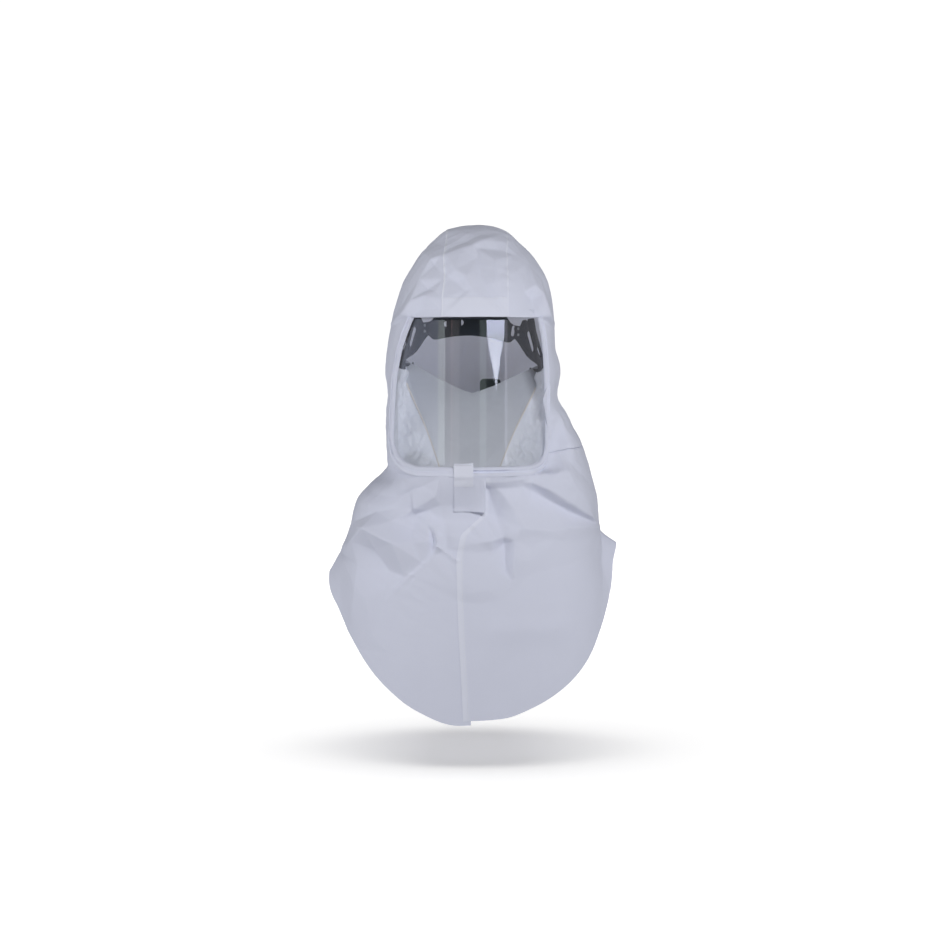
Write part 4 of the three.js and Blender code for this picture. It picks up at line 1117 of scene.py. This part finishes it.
front_edge = through(FRONT_EDGE, "z", "x")
FRONT_STRIP = 7  # width of the turned strip along the front edge
STRIP_TINT = 0.45
STRIP_STITCH = 1.0  # in from the strip's inner edge
FRONT_FOOT = -458.0  # foot of the front edge
NECK_LAP = 1.6  # the bib's upper edge reaches this far up under the side panels
TUCK_TALL = 4  # and is tucked in over this height
BIB_TUCK = 2.2
BACK_TUCK = 1.3
FLARE_FROM = {"left": 0.64, "right": 0.86}  # share of the way down where the corners start to flare
FLARE_BEND = 1.15
BACK_FLARE_BEND = 8


def hem_lines(rows):
    """Height of a hem and its flare at an angle."""
    z = through(rows, "turn", "z")
    turns, flares = np.array(sorted((row["turn"], row["flare"]) for row in rows), float).T
    return (lambda a: z(np.degrees(a))), (lambda a: np.interp(np.degrees(a), turns, flares))


def bib_half(side, name):
    hem_z, flare = hem_lines(HEM_LEFT if side < 0 else HEM_RIGHT)
    lap = LAP if side < 0 else 0

    def edge_angle(z):
        return angle_at(front_edge(z) + lap, z)

    last = side * SIDE_TURN
    s, z = rim(BIND_EASE - BIB_UNDER)
    a = angle_at(visor_x(s, z), z)
    start = float(edge_angle(RIM_LEVEL))
    keep = (z < NECK_START - 1) & (side * (a - start) > 0.03)
    chin = np.stack([a[keep], z[keep]], -1)
    if side < 0:
        chin = chin[::-1]
    neck = neck_rows(neck_start(side), last, 40) + [0, NECK_LAP]
    upper = np.concatenate([[[start, RIM_LEVEL]], chin, neck])
    bottom = np.linspace(float(edge_angle(hem_z(edge_angle(FRONT_FOOT)))), last, 80)
    lower = np.stack([bottom, hem_z(bottom)], -1)
    angle, z, v = panel_angles(upper, lower, 200, 210, edge_angle)
    base = skin(angle, z)
    x = base[..., 0] - front_edge(z)
    if side < 0:
        lift = -LAP_DROP * ease((x + 2 * LAP) / 16)
    else:
        strip = np.clip((FRONT_STRIP - x) / FRONT_STRIP, 0, 1)
        lift = LAP_RISE * (1 - ease((x - 8) / 24)) + STRIP_RISE * strip
    onset = FLARE_FROM["left" if side < 0 else "right"]
    lift = lift + flare(angle) * np.clip((v - onset) / (1 - onset), 0, 1) ** FLARE_BEND
    tucked = ease((TUCK_TALL - run_length(base, 1)) / TUCK_TALL) * (z > CHIN_RIM + TUCK_TALL)
    grid, n = lifted(angle, z, lift - BIB_TUCK * tucked)
    if side < 0:
        return sheet_piece(name, grid, n, BIB_T, CLOTH_LOOK)
    line = line_on(grid, n, x, FRONT_STRIP - STRIP_STITCH, BIB_T / 2)
    stitch_lines["stitches_front"] = line[line[:, 2] < FLAP["low"] - 18]
    doubled = STRIP_TINT * ease((FRONT_STRIP + 1.5 - x) / 5)
    return sheet_piece(name, grid, n, BIB_T, CLOTH_LOOK, doubled)


def bib_back():
    hem_z, flare = hem_lines(HEM_BACK)
    nape_turn = float(angle_at(CROWN_HALF, NAPE, True))
    right = neck_rows(SIDE_TURN, nape_turn, 40)
    left = neck_rows(-nape_turn, -SIDE_TURN, 40) + [2 * np.pi, 0]
    upper = np.concatenate([right, [[np.pi, NAPE]], left]) + [0, NECK_LAP]
    bottom = np.linspace(SIDE_TURN, 2 * np.pi - SIDE_TURN, 120)
    lower = np.stack([bottom, hem_z(bottom)], -1)
    angle, z, v = panel_angles(upper, lower, 170, 110)
    base = skin(angle, z)
    tucked = ease((TUCK_TALL - run_length(base, 1)) / TUCK_TALL)
    grid, n = lifted(angle, z, flare(angle) * v**BACK_FLARE_BEND - BACK_TUCK * tucked)
    return sheet_piece("bib_back_cloth", grid, n, CLOTH, CLOTH_LOOK)


# Window pieces
VISOR_UP = 10  # the visor runs on this far above the brow, behind the hem
VISOR_UNDER = 3  # and this far under the binding


def visor_sheet():
    above_brow = np.linspace(BROW + VISOR_UP, BROW, 5)[:-1]
    z = np.concatenate([above_brow, np.linspace(BROW, CHIN - VISOR_UNDER, 60)])[:, None]
    t = np.linspace(0, 1, 90)[None, :]
    level = np.clip(z, CHIN, BROW)
    s = lerp(window_left(level) - VISOR_UNDER, window_right(level) + VISOR_UNDER, t)
    x = visor_x(s, np.minimum(z, BROW))
    on_visor = visor_at(s, np.minimum(z, BROW) + 0 * s, np.full_like(s, VISOR_SET))
    angle = angle_at(x, z + 0 * x)
    above = skin(angle, z + 0 * x) + skin_normal(angle, z + 0 * x) * VISOR_SET
    grid = np.where((z > BROW)[..., None], above, on_visor)
    guide = np.zeros_like(grid)
    guide[..., 1] = -1
    return sheet_piece("visor_film", grid, grid_normals(grid, guide), FILM, CLEAR_LOOK)


# The binding's outline: share of its width out from the window, and rise off the visor's face
BIND_PROFILE = table("share rise", [
    (-0.1, -3.2),
    (1.0, -3.2),
    (1.12, -1.2),
    (1.2, 0.3),
    (1.14, 1.1),
    (1.0, 1.5),
    (0.84, 1.6),
    (0.68, 1.3),
    (0.58, 0.7),
    (0.52, 0.15),
    (0.46, 0.15),
    (0.4, 0.7),
    (0.3, 1.2),
    (0.16, 1.1),
    (0.02, 0.3),
    (-0.1, -1.2),
    (-0.16, -2.9),
])


BIND_TOP = 0.6  # the binding ends this far below the brow
GROOVE_AT = 0.49  # share of the binding's width
GROOVE_NEAR = 0.12
GROOVE = {"side": 0.5, "chin_left": -1.1, "chin_right": 1.6}  # its depth, beyond the outline's
GROOVE_END = 62  # the deep groove fades out here
BIND_STITCH = {"share": 0.84, "rise": 1.75}


def binding():
    s, z, out_s, out_z, wide = EDGE
    z = np.minimum(z, BROW - BIND_TOP)
    far = np.arange(len(s)) * EDGE_STEP
    on_chin = ease((-out_z - 0.6) / 0.3)
    right_of_tab = ease((s + 5) / 10)
    deep_right = GROOVE["chin_right"] * ease((GROOVE_END - s) / 20)
    groove = lerp(GROOVE["side"], lerp(GROOVE["chin_left"], deep_right, right_of_tab), on_chin)
    rings = []
    for row in BIND_PROFILE:
        ps = s + out_s * wide * row["share"]
        pz = z + out_z * wide * row["share"]
        in_groove = abs(row["share"] - GROOVE_AT) < GROOVE_NEAR
        rise = row["rise"] - (groove if in_groove else 0)
        p = visor_at(ps, pz, 0 * ps)
        if row["rise"] > 0:
            rise = rise + 0.3 * noise(p, 13, 5) + 0.25 * np.sin(far / 4 + 3 * np.sin(far / 31))
        rings.append(visor_at(ps, pz, rise + 0 * ps))
    right = (s > TAB["right"] + 8) & (z < CHIN + 40) & (s > 0)
    out = wide * BIND_STITCH["share"]
    line = visor_at(s + out_s * out, z + out_z * out, BIND_STITCH["rise"] + 0 * s)
    stitch_lines["stitches_binding"] = line[right]
    return bar_piece("visor_binding_cloth", np.stack(rings, 1), CLOTH_LOOK, 60)


FLAP_OFF = {"left": 0.6, "right": 1.5}  # the flap's rise off the bib
FLAP_FREE = 0.9  # its lower edge stands off this much more
FLAP_ROLL = {"rise": 2.2, "wide": 2.2, "in": 1.8}  # the roll of its right edge
TAB_RISE = 5  # the tab starts this far above the chin
TAB_INSIDE = -1.0  # and there lies behind the binding's crest
TAB_CORNER = 3.0  # its upper right corner is lifted
TAB_ON_FLAP = 0.1  # room between the tab and the flap


def flap_lift(x, z, base):
    """The flap lies flush on its left and stands off the hollow on its right, where its edge is rolled."""
    u = (x - FLAP["left"]) / (FLAP["right"] - FLAP["left"])
    v = (CHIN_RIM - z) / (CHIN_RIM - FLAP["low"])
    roll = FLAP_ROLL["rise"] * bell(x - FLAP["right"] + FLAP_ROLL["in"], FLAP_ROLL["wide"])
    roll = roll * ease((v - 0.02) / 0.25)
    free = FLAP_FREE * v**3
    over = folds(base)
    over = lerp(over, np.maximum(over, 0), ease((u - 0.45) / 0.4))
    off = lerp(FLAP_OFF["left"], FLAP_OFF["right"], ease(u / 0.7))
    return off + roll + free + over + wrinkles(base)


def neck_flap():
    u = np.linspace(0, 1, 60)[:, None]
    v = np.linspace(0, 1, 60)[None, :]
    x = lerp(FLAP["left"], FLAP["right"], u) + 0 * v
    z = lerp(CHIN_RIM - 0.3, FLAP["low"], v) + 0 * u
    base = skin(angle_at(x, z), z)
    n = skin_normal(angle_at(x, z), z)
    grid = base + n * flap_lift(x, z, base)[..., None]
    return sheet_piece("neck_flap_cloth", grid, n, FLAP_T, CLOTH_LOOK)


def chin_tab():
    u = np.linspace(0, 1, 40)[:, None]
    v = np.linspace(0, 1, 60)[None, :]
    x = lerp(TAB["left"], TAB["right"], u) + 0 * v
    z = lerp(CHIN + TAB_RISE, TAB["low"], v) + 0 * u
    base = skin(angle_at(x, z), z)
    n = skin_normal(angle_at(x, z), z)
    over = lerp(TAB_CREST, TAB_INSIDE, ease((z - CHIN - 1.5) / 3.4))
    corner = TAB_CORNER * ease((u - 0.7) / 0.3) * ease((0.12 - v) / 0.12)
    on_flap = flap_lift(x, z, base) + FLAP_T + TAB_ON_FLAP
    lift = lerp(over, on_flap, ease((CHIN_RIM + 2 - z) / 7))
    lift = np.where(z < CHIN_RIM, np.maximum(lift, on_flap), lift)
    grid = base + n * (lift + corner)[..., None]
    return sheet_piece("chin_tab_tape", grid, n, FLAP_T, TAPE_LOOK)


# Headband ring and face seal
def ring_at(turn, z, out):
    """A point of the headband ring at a turn from the front, moved out, and the way that it faces."""
    a = np.radians(turn)
    n = unit(np.stack([np.sin(a) / RING_HALF, -np.cos(a) / RING_LONG, 0 * a], -1))
    p = np.stack([RING_X + RING_HALF * np.sin(a), RING_Y - RING_LONG * np.cos(a), z + 0 * a], -1)
    return p + n * out, n


SEAL_T = 0.8
SEAL_OUT = VISOR_SET - 2.3
SEAL_LOW = CHIN - 3
SEAL_FOOT = {"left": -31, "right": 38}
SEAL_V = {"y": -74, "z": -88}
SEAL_IN = 5
SEAL_CORNER = ring_at(np.array(float(STUD_TURN)), STUD_Z, -SEAL_IN)[0]


def rolled_z(x, z):
    """The harness sits a little lower on the right."""
    return z - ROLL * (x - RING_X)


def seal_top(u):
    k = np.minimum(np.abs(u), 1.05)
    x = lerp(2 * RING_X - SEAL_CORNER[0], SEAL_CORNER[0], (u + 1) / 2)
    corner_z = rolled_z(RING_X + np.sign(u) * (SEAL_CORNER[0] - RING_X), SEAL_CORNER[2])
    y = SEAL_V["y"] + (SEAL_CORNER[1] - SEAL_V["y"]) * k**1.6
    z = SEAL_V["z"] + (corner_z - SEAL_V["z"]) * k**1.2
    return np.stack([x, y, z], -1)


def seal_foot(u):
    s = lerp(SEAL_FOOT["left"], SEAL_FOOT["right"], (u + 1) / 2)
    return visor_at(s, SEAL_LOW + 0 * s, SEAL_OUT + 0 * s)


def seal_centre_at(u, v):
    p = lerp(seal_top(u), seal_foot(u), v[..., None])
    sag = 7 * np.sin(np.pi * np.clip(v, 0, 1)) * np.maximum(1 - u * u, 0)
    return p + np.stack([0 * sag, sag * 0.6, -sag * 0.8], -1)


def seal_half(v):
    """Half the centre panel's width, in shares of the stud spacing: widest just below the studs."""
    return 1.03 + 0.1 * ease((v - 0.08) / 0.1) * (1 - ease((v - 0.2) / 0.6))


def front_guide(grid):
    guide = np.zeros_like(grid)
    guide[..., 1] = -1
    guide[..., 2] = 0.3
    return grid_normals(grid, guide)


def seal_centre():
    u, v = np.meshgrid(np.linspace(-1, 1, 120), np.linspace(-0.05, 1, 80), indexing="ij")
    grid = seal_centre_at(u * seal_half(v), v)
    n = front_guide(grid)
    grid = grid + n * (0.8 * noise(grid, 30, 7) + 0.35 * crinkle(grid, 16, 8))[..., None]
    return sheet_piece("seal_centre_cloth", grid, n, SEAL_T, SEAL_CENTRE_SHADED_LOOK)


SEAL_TOP = -53
SEAL_UNDER = -1.5  # the side panels' outer edge under the binding
SEAL_START = 0.065  # share of the way down the centre panel where the side panels start
SEAL_SWELL = 5
STRIP_HALF = 0.012  # half the tan seam's width, in shares of half the stud spacing
STRIP_T = 0.6


def seal_border(side, foot):
    """The side panel's outer edge, behind the binding, from below the stud to the centre panel's foot."""
    s, z = rim(SEAL_UNDER)
    bottom = np.flatnonzero(z < z.min() + 1)
    part = slice(bottom[-1]) if side < 0 else slice(None, bottom[0], -1)
    s, z = s[part], z[part]
    keep = (z < SEAL_TOP) & (side * (s - foot) > 8)
    far = run_of(s[keep], z[keep])
    return far / far[-1], s[keep], np.maximum(z[keep], SEAL_LOW)


def seal_side(side, name):
    u, v = np.meshgrid(np.linspace(0, 1, 60), np.linspace(0, 1, 110), indexing="ij")
    foot = SEAL_FOOT["left"] if side < 0 else SEAL_FOOT["right"]
    along = lerp(SEAL_START, 1, v)
    inner = seal_centre_at(side * seal_half(along), along)
    far, border_s, border_z = seal_border(side, foot)
    at = v**0.85
    border = np.interp(at, far, border_s), np.interp(at, far, border_z)
    outer = visor_at(*border, VISOR_SET - 1.1 + 0 * v)
    grid = lerp(inner, outer, u[..., None])
    grid[..., 1] += SEAL_SWELL * np.sin(np.pi * u) * np.sin(np.pi * v)
    n = front_guide(grid)
    free = np.sin(np.pi * u) * (1 - 0.7 * ease((v - 0.8) / 0.2))
    tall = grid * np.array([1, 1, 0.6])
    bumps = 1.4 * noise(tall, 22, 9) + 2.4 * crinkle(grid, 19, 10)
    bumps = bumps + 1.9 * crinkle(tall, 11, 11) + 0.7 * crinkle(grid, 6, 12)
    grid = grid + n * (bumps * free)[..., None]
    return sheet_piece(name, grid, n, SEAL_T, SEAL_LOOK)


def seal_seam(side, name):
    u, v = np.meshgrid(np.linspace(-1, 1, 7), np.linspace(0.2, 0.985, 120), indexing="ij")
    grid = seal_centre_at(side * (seal_half(v) - STRIP_HALF * u), v)
    n = front_guide(grid)
    rise = 0.8 + 0.3 * (1 - u * u) + 0.15 * np.sin(v * 160)
    grid = grid + n * rise[..., None]
    stitch_lines[name.replace("seal_seam", "stitches_seal").replace("_strip", "")] = grid[3] + n[3] * 0.35
    return sheet_piece(name, grid, n, STRIP_T, TAN_LOOK)


# Harness pieces
SEGMENTS = 32


def turned(name, profile, start, along, material):
    """A turned piece: radius and height along its axis."""
    side = unit(np.cross(along, [0, 0, 1.0]))
    other = np.cross(along, side)
    a = np.linspace(0, 2 * np.pi, SEGMENTS, endpoint=False)
    spoke = np.cos(a)[:, None] * side + np.sin(a)[:, None] * other
    rings = [start + along * h + spoke * r for r, h in profile]
    return bar_piece(name, np.stack(rings), material, 35)


BAND_T = 2.0
ARM_T = 2.2
GAP = 0.3
RIVET_R = 0.9
RIVET_Z = {"upper": -6.8, "lower": -13.8}
BAND_BEVEL = 0.0004  # metres
HOUSING_BEVEL = 0.0008
STUD_R = 2.0
RIVET_IN = -BAND_T / 2 - GAP
RIVET_UP = BAND_T / 2 + 2 * GAP + ARM_T
RIVET = [
    (0.5, RIVET_IN - 0.8),
    (1.4, RIVET_IN - 0.8),
    (1.7, RIVET_IN - 0.5),
    (1.7, RIVET_IN),
    (RIVET_R, RIVET_IN),
    (RIVET_R, RIVET_UP),
    (1.7, RIVET_UP),
    (1.65, RIVET_UP + 0.35),
    (1.2, RIVET_UP + 0.75),
    (0.4, RIVET_UP + 0.9),
]
STUD = [
    (1, -SEAL_IN - 7),
    (3.2, -SEAL_IN - 7),
    (3.4, -SEAL_IN - 6.7),
    (3.4, -SEAL_IN - 6.1),
    (STUD_R, -SEAL_IN - 5.8),
    (STUD_R, RIVET_UP),
    (3.6, RIVET_UP),
    (3.6, RIVET_UP + 0.6),
    (3.0, RIVET_UP + 1.5),
    (1.8, RIVET_UP + 1.9),
    (0.6, RIVET_UP + 2),
]


def fasteners():
    made = {}
    for side, word in ((-1, "left"), (1, "right")):
        for level, z in RIVET_Z.items():
            p, n = ring_at(np.array(float(side * RIVET_TURN)), z, 0)
            p[2] = rolled_z(p[0], p[2])
            name = f"rivet_{word}_{level}"
            made[name] = turned(name + "_head", RIVET, p, n, RIVET_LOOK)
        p, n = ring_at(np.array(float(side * STUD_TURN)), STUD_Z, 0)
        p[2] = rolled_z(p[0], p[2])
        name = f"stud_{word}"
        made[name] = turned(name + "_head", STUD, p, n, DARK_LOOK)
    return made


def softened(node, bevel, material):
    """A moulded piece of the harness with its edges broken."""
    name = node + "_moulding"
    mesh = nodes[node].data.copy()
    mesh.name = name
    edit = bmesh.new()
    edit.from_mesh(mesh)
    bmesh.ops.remove_doubles(edit, verts=edit.verts, dist=1e-6)
    edit.to_mesh(mesh)
    edit.free()
    piece = bpy.data.objects.new(name, mesh)
    bpy.context.scene.collection.objects.link(piece)
    rounding = piece.modifiers.new("edges", "BEVEL")
    rounding.width = bevel
    rounding.segments = 2
    rounding.limit_method = "ANGLE"
    rounding.angle_limit = math.radians(40)
    rounding.harden_normals = False
    done = bpy.data.meshes.new_from_object(piece.evaluated_get(bpy.context.evaluated_depsgraph_get()))
    piece.modifiers.clear()
    piece.data = done
    done.name = name
    done.polygons.foreach_set("use_smooth", np.ones(len(done.polygons), bool))
    done.set_sharp_from_angle(angle=math.radians(30))
    done.materials.clear()
    done.materials.append(material)
    return piece


# Making the pieces, and what each stands for
made = {
    "crown_panel": (crown_panel(), "cloth"),
    "side_panel_left": (side_panel(-1, "side_panel_left_cloth"), "cloth"),
    "side_panel_right": (side_panel(1, "side_panel_right_cloth"), "cloth"),
    "brow_hem": (brow_hem(), "cloth"),
    "bib_left": (bib_half(-1, "bib_left_cloth"), "cloth"),
    "bib_right": (bib_half(1, "bib_right_cloth"), "cloth"),
    "bib_back": (bib_back(), "cloth"),
    "visor": (visor_sheet(), "clear_visor"),
    "visor_binding": (binding(), "cloth"),
    "neck_flap": (neck_flap(), "cloth"),
    "chin_tab": (chin_tab(), "tape"),
    "seal_centre": (seal_centre(), "cloth"),
    "seal_left": (seal_side(-1, "seal_left_cloth"), "cloth"),
    "seal_right": (seal_side(1, "seal_right_cloth"), "cloth"),
    "seal_seam_left": (seal_seam(-1, "seal_seam_left_strip"), "tan_seam"),
    "seal_seam_right": (seal_seam(1, "seal_seam_right_strip"), "tan_seam"),
}
for node, piece in fasteners().items():
    made[node] = (piece, "harness")
for node in ("forehead_band", "arm_left", "arm_right", "nape_band"):
    made[node] = (softened(node, BAND_BEVEL, DARK_LOOK), "harness")
made["nape_housing"] = (softened("nape_housing", HOUSING_BEVEL, GREEN_LOOK), "harness")
for node, (piece, slot) in made.items():
    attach(piece, "root")
    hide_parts(node)
for row in STITCHES:
    piece = stitch_row(row)
    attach(piece, "root")


# Floor, lights and camera
FLOOR_HALF = 8
FLOOR_NEAR = 0.6  # metres from the middle, where the floor starts to brighten
FLOOR_FAR = 1.3


def plain_floor(place):
    """A pale floor that brightens into the white room away from the hood."""
    grain = noise_of(place, 3, 2)
    colour = mix_colour(place, grain, (0.88, 0.88, 0.88, 1), (0.9, 0.9, 0.9, 1))
    away = place.node("ShaderNodeVectorMath", {"operation": "LENGTH"}, {0: place}, out="Value")
    far = range_of(place, away, FLOOR_NEAR, FLOOR_FAR, 0.32, 1.1)
    glow = place.node("ShaderNodeCombineXYZ", sockets={0: far, 1: far * 0.985, 2: far * 0.965})
    return place.node(
        "ShaderNodeBsdfPrincipled",
        sockets={
            "Base Color": colour,
            "Roughness": 0.9,
            "Emission Color": glow,
            "Emission Strength": 1.0,
            "Specular IOR Level": 0.0,
        },
    )


floor_mesh = bpy.data.meshes.new("floor")
floor_corners = [(x * FLOOR_HALF, y * FLOOR_HALF, FLOOR_Z) for x, y in ((-1, -1), (1, -1), (1, 1), (-1, 1))]
floor_mesh.from_pydata(floor_corners, [], [(0, 1, 2, 3)])
floor_mesh.materials.append(make_material("pale_floor", plain_floor))
floor = bpy.data.objects.new("floor", floor_mesh)
bpy.context.scene.collection.objects.link(floor)
floor.visible_diffuse = False
floor.visible_glossy = False

AIM = Vector((0.004, 0, -0.185))  # the camera and the lamps face this


def area_light(name, turn, rise, away, size, power):
    """A soft lamp at a turn to the right of the front and a rise above the level, facing the hood."""
    a, e = math.radians(turn), math.radians(rise)
    out = Vector((math.sin(a) * math.cos(e), -math.cos(a) * math.cos(e), math.sin(e)))
    lamp = bpy.data.lights.new(name, "AREA")
    lamp.shape = "SQUARE"
    lamp.size = size
    lamp.energy = power
    item = bpy.data.objects.new(name, lamp)
    item.location = AIM + out * away
    item.rotation_mode = "QUATERNION"
    item.rotation_quaternion = (-out).to_track_quat("-Z", "Y")
    bpy.context.scene.collection.objects.link(item)
    return item


key_lamp = area_light("key_lamp", turn=17, rise=28, away=2.4, size=0.6, power=29)
fill_lamp = area_light("fill_lamp", turn=-80, rise=-4, away=2.2, size=0.9, power=12)
# Light that comes through the thin cloth: place, power and tint
for name, spot, power, tint in (
    ("glow_in_crown", (0, 0.02, 0.03), 0.045, (1, 0.92, 0.66)),
    ("glow_behind_visor", (0.02, -0.105, -0.08), 0.006, (1, 0.98, 0.95)),
):
    lamp = bpy.data.lights.new(name, "POINT")
    lamp.energy = power
    lamp.color = tint
    lamp.shadow_soft_size = 0.05
    glow = bpy.data.objects.new(name, lamp)
    glow.location = spot
    glow.visible_camera = False
    glow.visible_glossy = False
    bpy.context.scene.collection.objects.link(glow)
floor_lamp = area_light("floor_lamp", turn=-90, rise=90, away=2.0, size=3.0, power=62)
# The floor has a lamp of its own, and the others leave it out
for lamp, state in ((floor_lamp, "INCLUDE"), (key_lamp, "EXCLUDE"), (fill_lamp, "EXCLUDE")):
    lit = bpy.data.collections.new(lamp.name + "_floor")
    lit.objects.link(floor)
    lit.collection_objects[0].light_linking.link_state = state
    lamp.light_linking.receiver_collection = lit
    lamp.visible_glossy = False

# The room's light: even, and how much more comes from both sides, from the left and from below
ROOM = {"even": 0.145, "sides": 0.64, "left": 0.06, "below": 0.26}
world = bpy.data.worlds.new("studio")
world.use_nodes = True
tree = world.node_tree
tree.nodes.clear()
start = Sock(tree)
seen = start.node("ShaderNodeLightPath", out="Is Camera Ray")
mirrored = start.node("ShaderNodeLightPath", out="Is Glossy Ray")
way = start.node("ShaderNodeTexCoord", out="Generated")
walls = start.node("ShaderNodeBackground", sockets={"Color": (0.8, 0.92, 1.1, 1), "Strength": 0.12})
across = start.node("ShaderNodeSeparateXYZ", sockets={0: way}, out=0)
upward = start.node("ShaderNodeSeparateXYZ", sockets={0: way}, out=2)
soft_light = ROOM["even"] + across * across * ROOM["sides"] - across * ROOM["left"] - upward * ROOM["below"]
room = start.node("ShaderNodeBackground", sockets={"Color": (0.97, 0.98, 1, 1), "Strength": soft_light})
white = start.node("ShaderNodeBackground", sockets={"Color": (1, 1, 1, 1), "Strength": 1.05})
inner = start.node("ShaderNodeMixShader", sockets={0: mirrored, 1: room, 2: walls})
sky = start.node("ShaderNodeMixShader", sockets={0: seen, 1: inner, 2: white})
end = tree.nodes.new("ShaderNodeOutputWorld")
tree.links.new(sky.socket, end.inputs["Surface"])
scene = bpy.context.scene
scene.world = world
scene.view_settings.view_transform = "Standard"
scene.view_settings.look = "None"

CAMERA_RISE = math.radians(4)
CAMERA_AWAY = 3.0
VIEW_HALF = 0.57  # half the picture's width, in metres at the hood
camera_data = bpy.data.cameras.new("camera")
camera_data.sensor_fit = "HORIZONTAL"
camera_data.angle = 2 * math.atan(VIEW_HALF / CAMERA_AWAY)
camera = bpy.data.objects.new("camera", camera_data)
camera.location = AIM + Vector((0, -math.cos(CAMERA_RISE), math.sin(CAMERA_RISE))) * CAMERA_AWAY
camera.rotation_mode = "QUATERNION"
camera.rotation_quaternion = (AIM - camera.location).to_track_quat("-Z", "Y")
scene.collection.objects.link(camera)
scene.camera = camera


# Lamp cards that the visor mirrors: the corners of each card's image, seen from the front, and its glow
STREAK_TOP = 14
WEDGE_TINT = (0.87, 0.92, 1.1)
LAMP_IMAGES = table("top_left top_right top_z low_left low_right low_z glow tint", [
    (13.8, 35.1, STREAK_TOP, 14.1, 35.1, -16, 8.6, (0.87, 0.92, 1.18)),
    (14.1, 35.1, -16, 18, 30.5, -38, 6.9, WEDGE_TINT),
    (18, 30.5, -38, 25.1, 25.5, -76, 8.0, WEDGE_TINT),
])
# Upright streaks over the whole window
STREAKS = table("left right glow tint", [
    (-92, -43.7, 1.25, (0.90, 0.97, 1.22)),
    (-43.7, -35.6, 2.0, (0.92, 1.0, 1.02)),
    (-35.6, -28.3, 0.35, (1.0, 0.95, 1.0)),
    (-28.3, -27, 0.9, (1.15, 0.85, 0.9)),
    (-27, -18.4, 0.5, (1.0, 0.95, 1.0)),
    (5.7, 13.5, 0.75, (0.85, 1.02, 1.0)),
    (35.4, 38.5, 1.5, (0.97, 0.97, 1.12)),
    (38.5, 92, 0.6, (0.97, 0.97, 1.06)),
])
for row in STREAKS:
    left = {"top_left": row["left"], "low_left": row["left"]}
    right = {"top_right": row["right"], "low_right": row["right"]}
    LAMP_IMAGES.append({**row, **left, **right, "top_z": STREAK_TOP, "low_z": CHIN})
CARD_CORNERS = (
    ("top_left", "top_z"),
    ("top_right", "top_z"),
    ("low_right", "low_z"),
    ("low_left", "low_z"),
)
CARD_AWAY = 1.5


def lamp_card(name, image):
    """A glowing card that only mirrors show, placed where the visor mirrors it at its image."""
    corners = []
    for across_key, high_key in CARD_CORNERS:
        z = np.array([float(image[high_key])])
        share = (image[across_key] - visor_part(z, "middle")) / VISOR_RADIUS
        at = VISOR_RADIUS * np.arcsin(np.clip(share, -0.97, 0.97)), z
        spot, outer = (visor_at(*at, np.array([out])) for out in (0.0, 1.0))
        n = unit(outer - spot)[0]
        spot = in_metres(spot[0])
        ray = unit(spot - np.array(camera.location))
        corners.append(spot + (ray - 2 * ray.dot(n) * n) * CARD_AWAY)
    mesh = bpy.data.meshes.new(name)
    mesh.from_pydata([tuple(c) for c in corners], [], [(0, 1, 2, 3)])

    def glow(place):
        given = {"Color": (*image["tint"], 1), "Strength": float(image["glow"])}
        return place.node("ShaderNodeEmission", sockets=given)

    mesh.materials.append(make_material(name, glow))
    card = bpy.data.objects.new(name, mesh)
    card.visible_camera = False
    card.visible_diffuse = False
    card.visible_shadow = False
    scene.collection.objects.link(card)


for number, image in enumerate(LAMP_IMAGES):
    lamp_card(f"lamp_card_{number}", image)
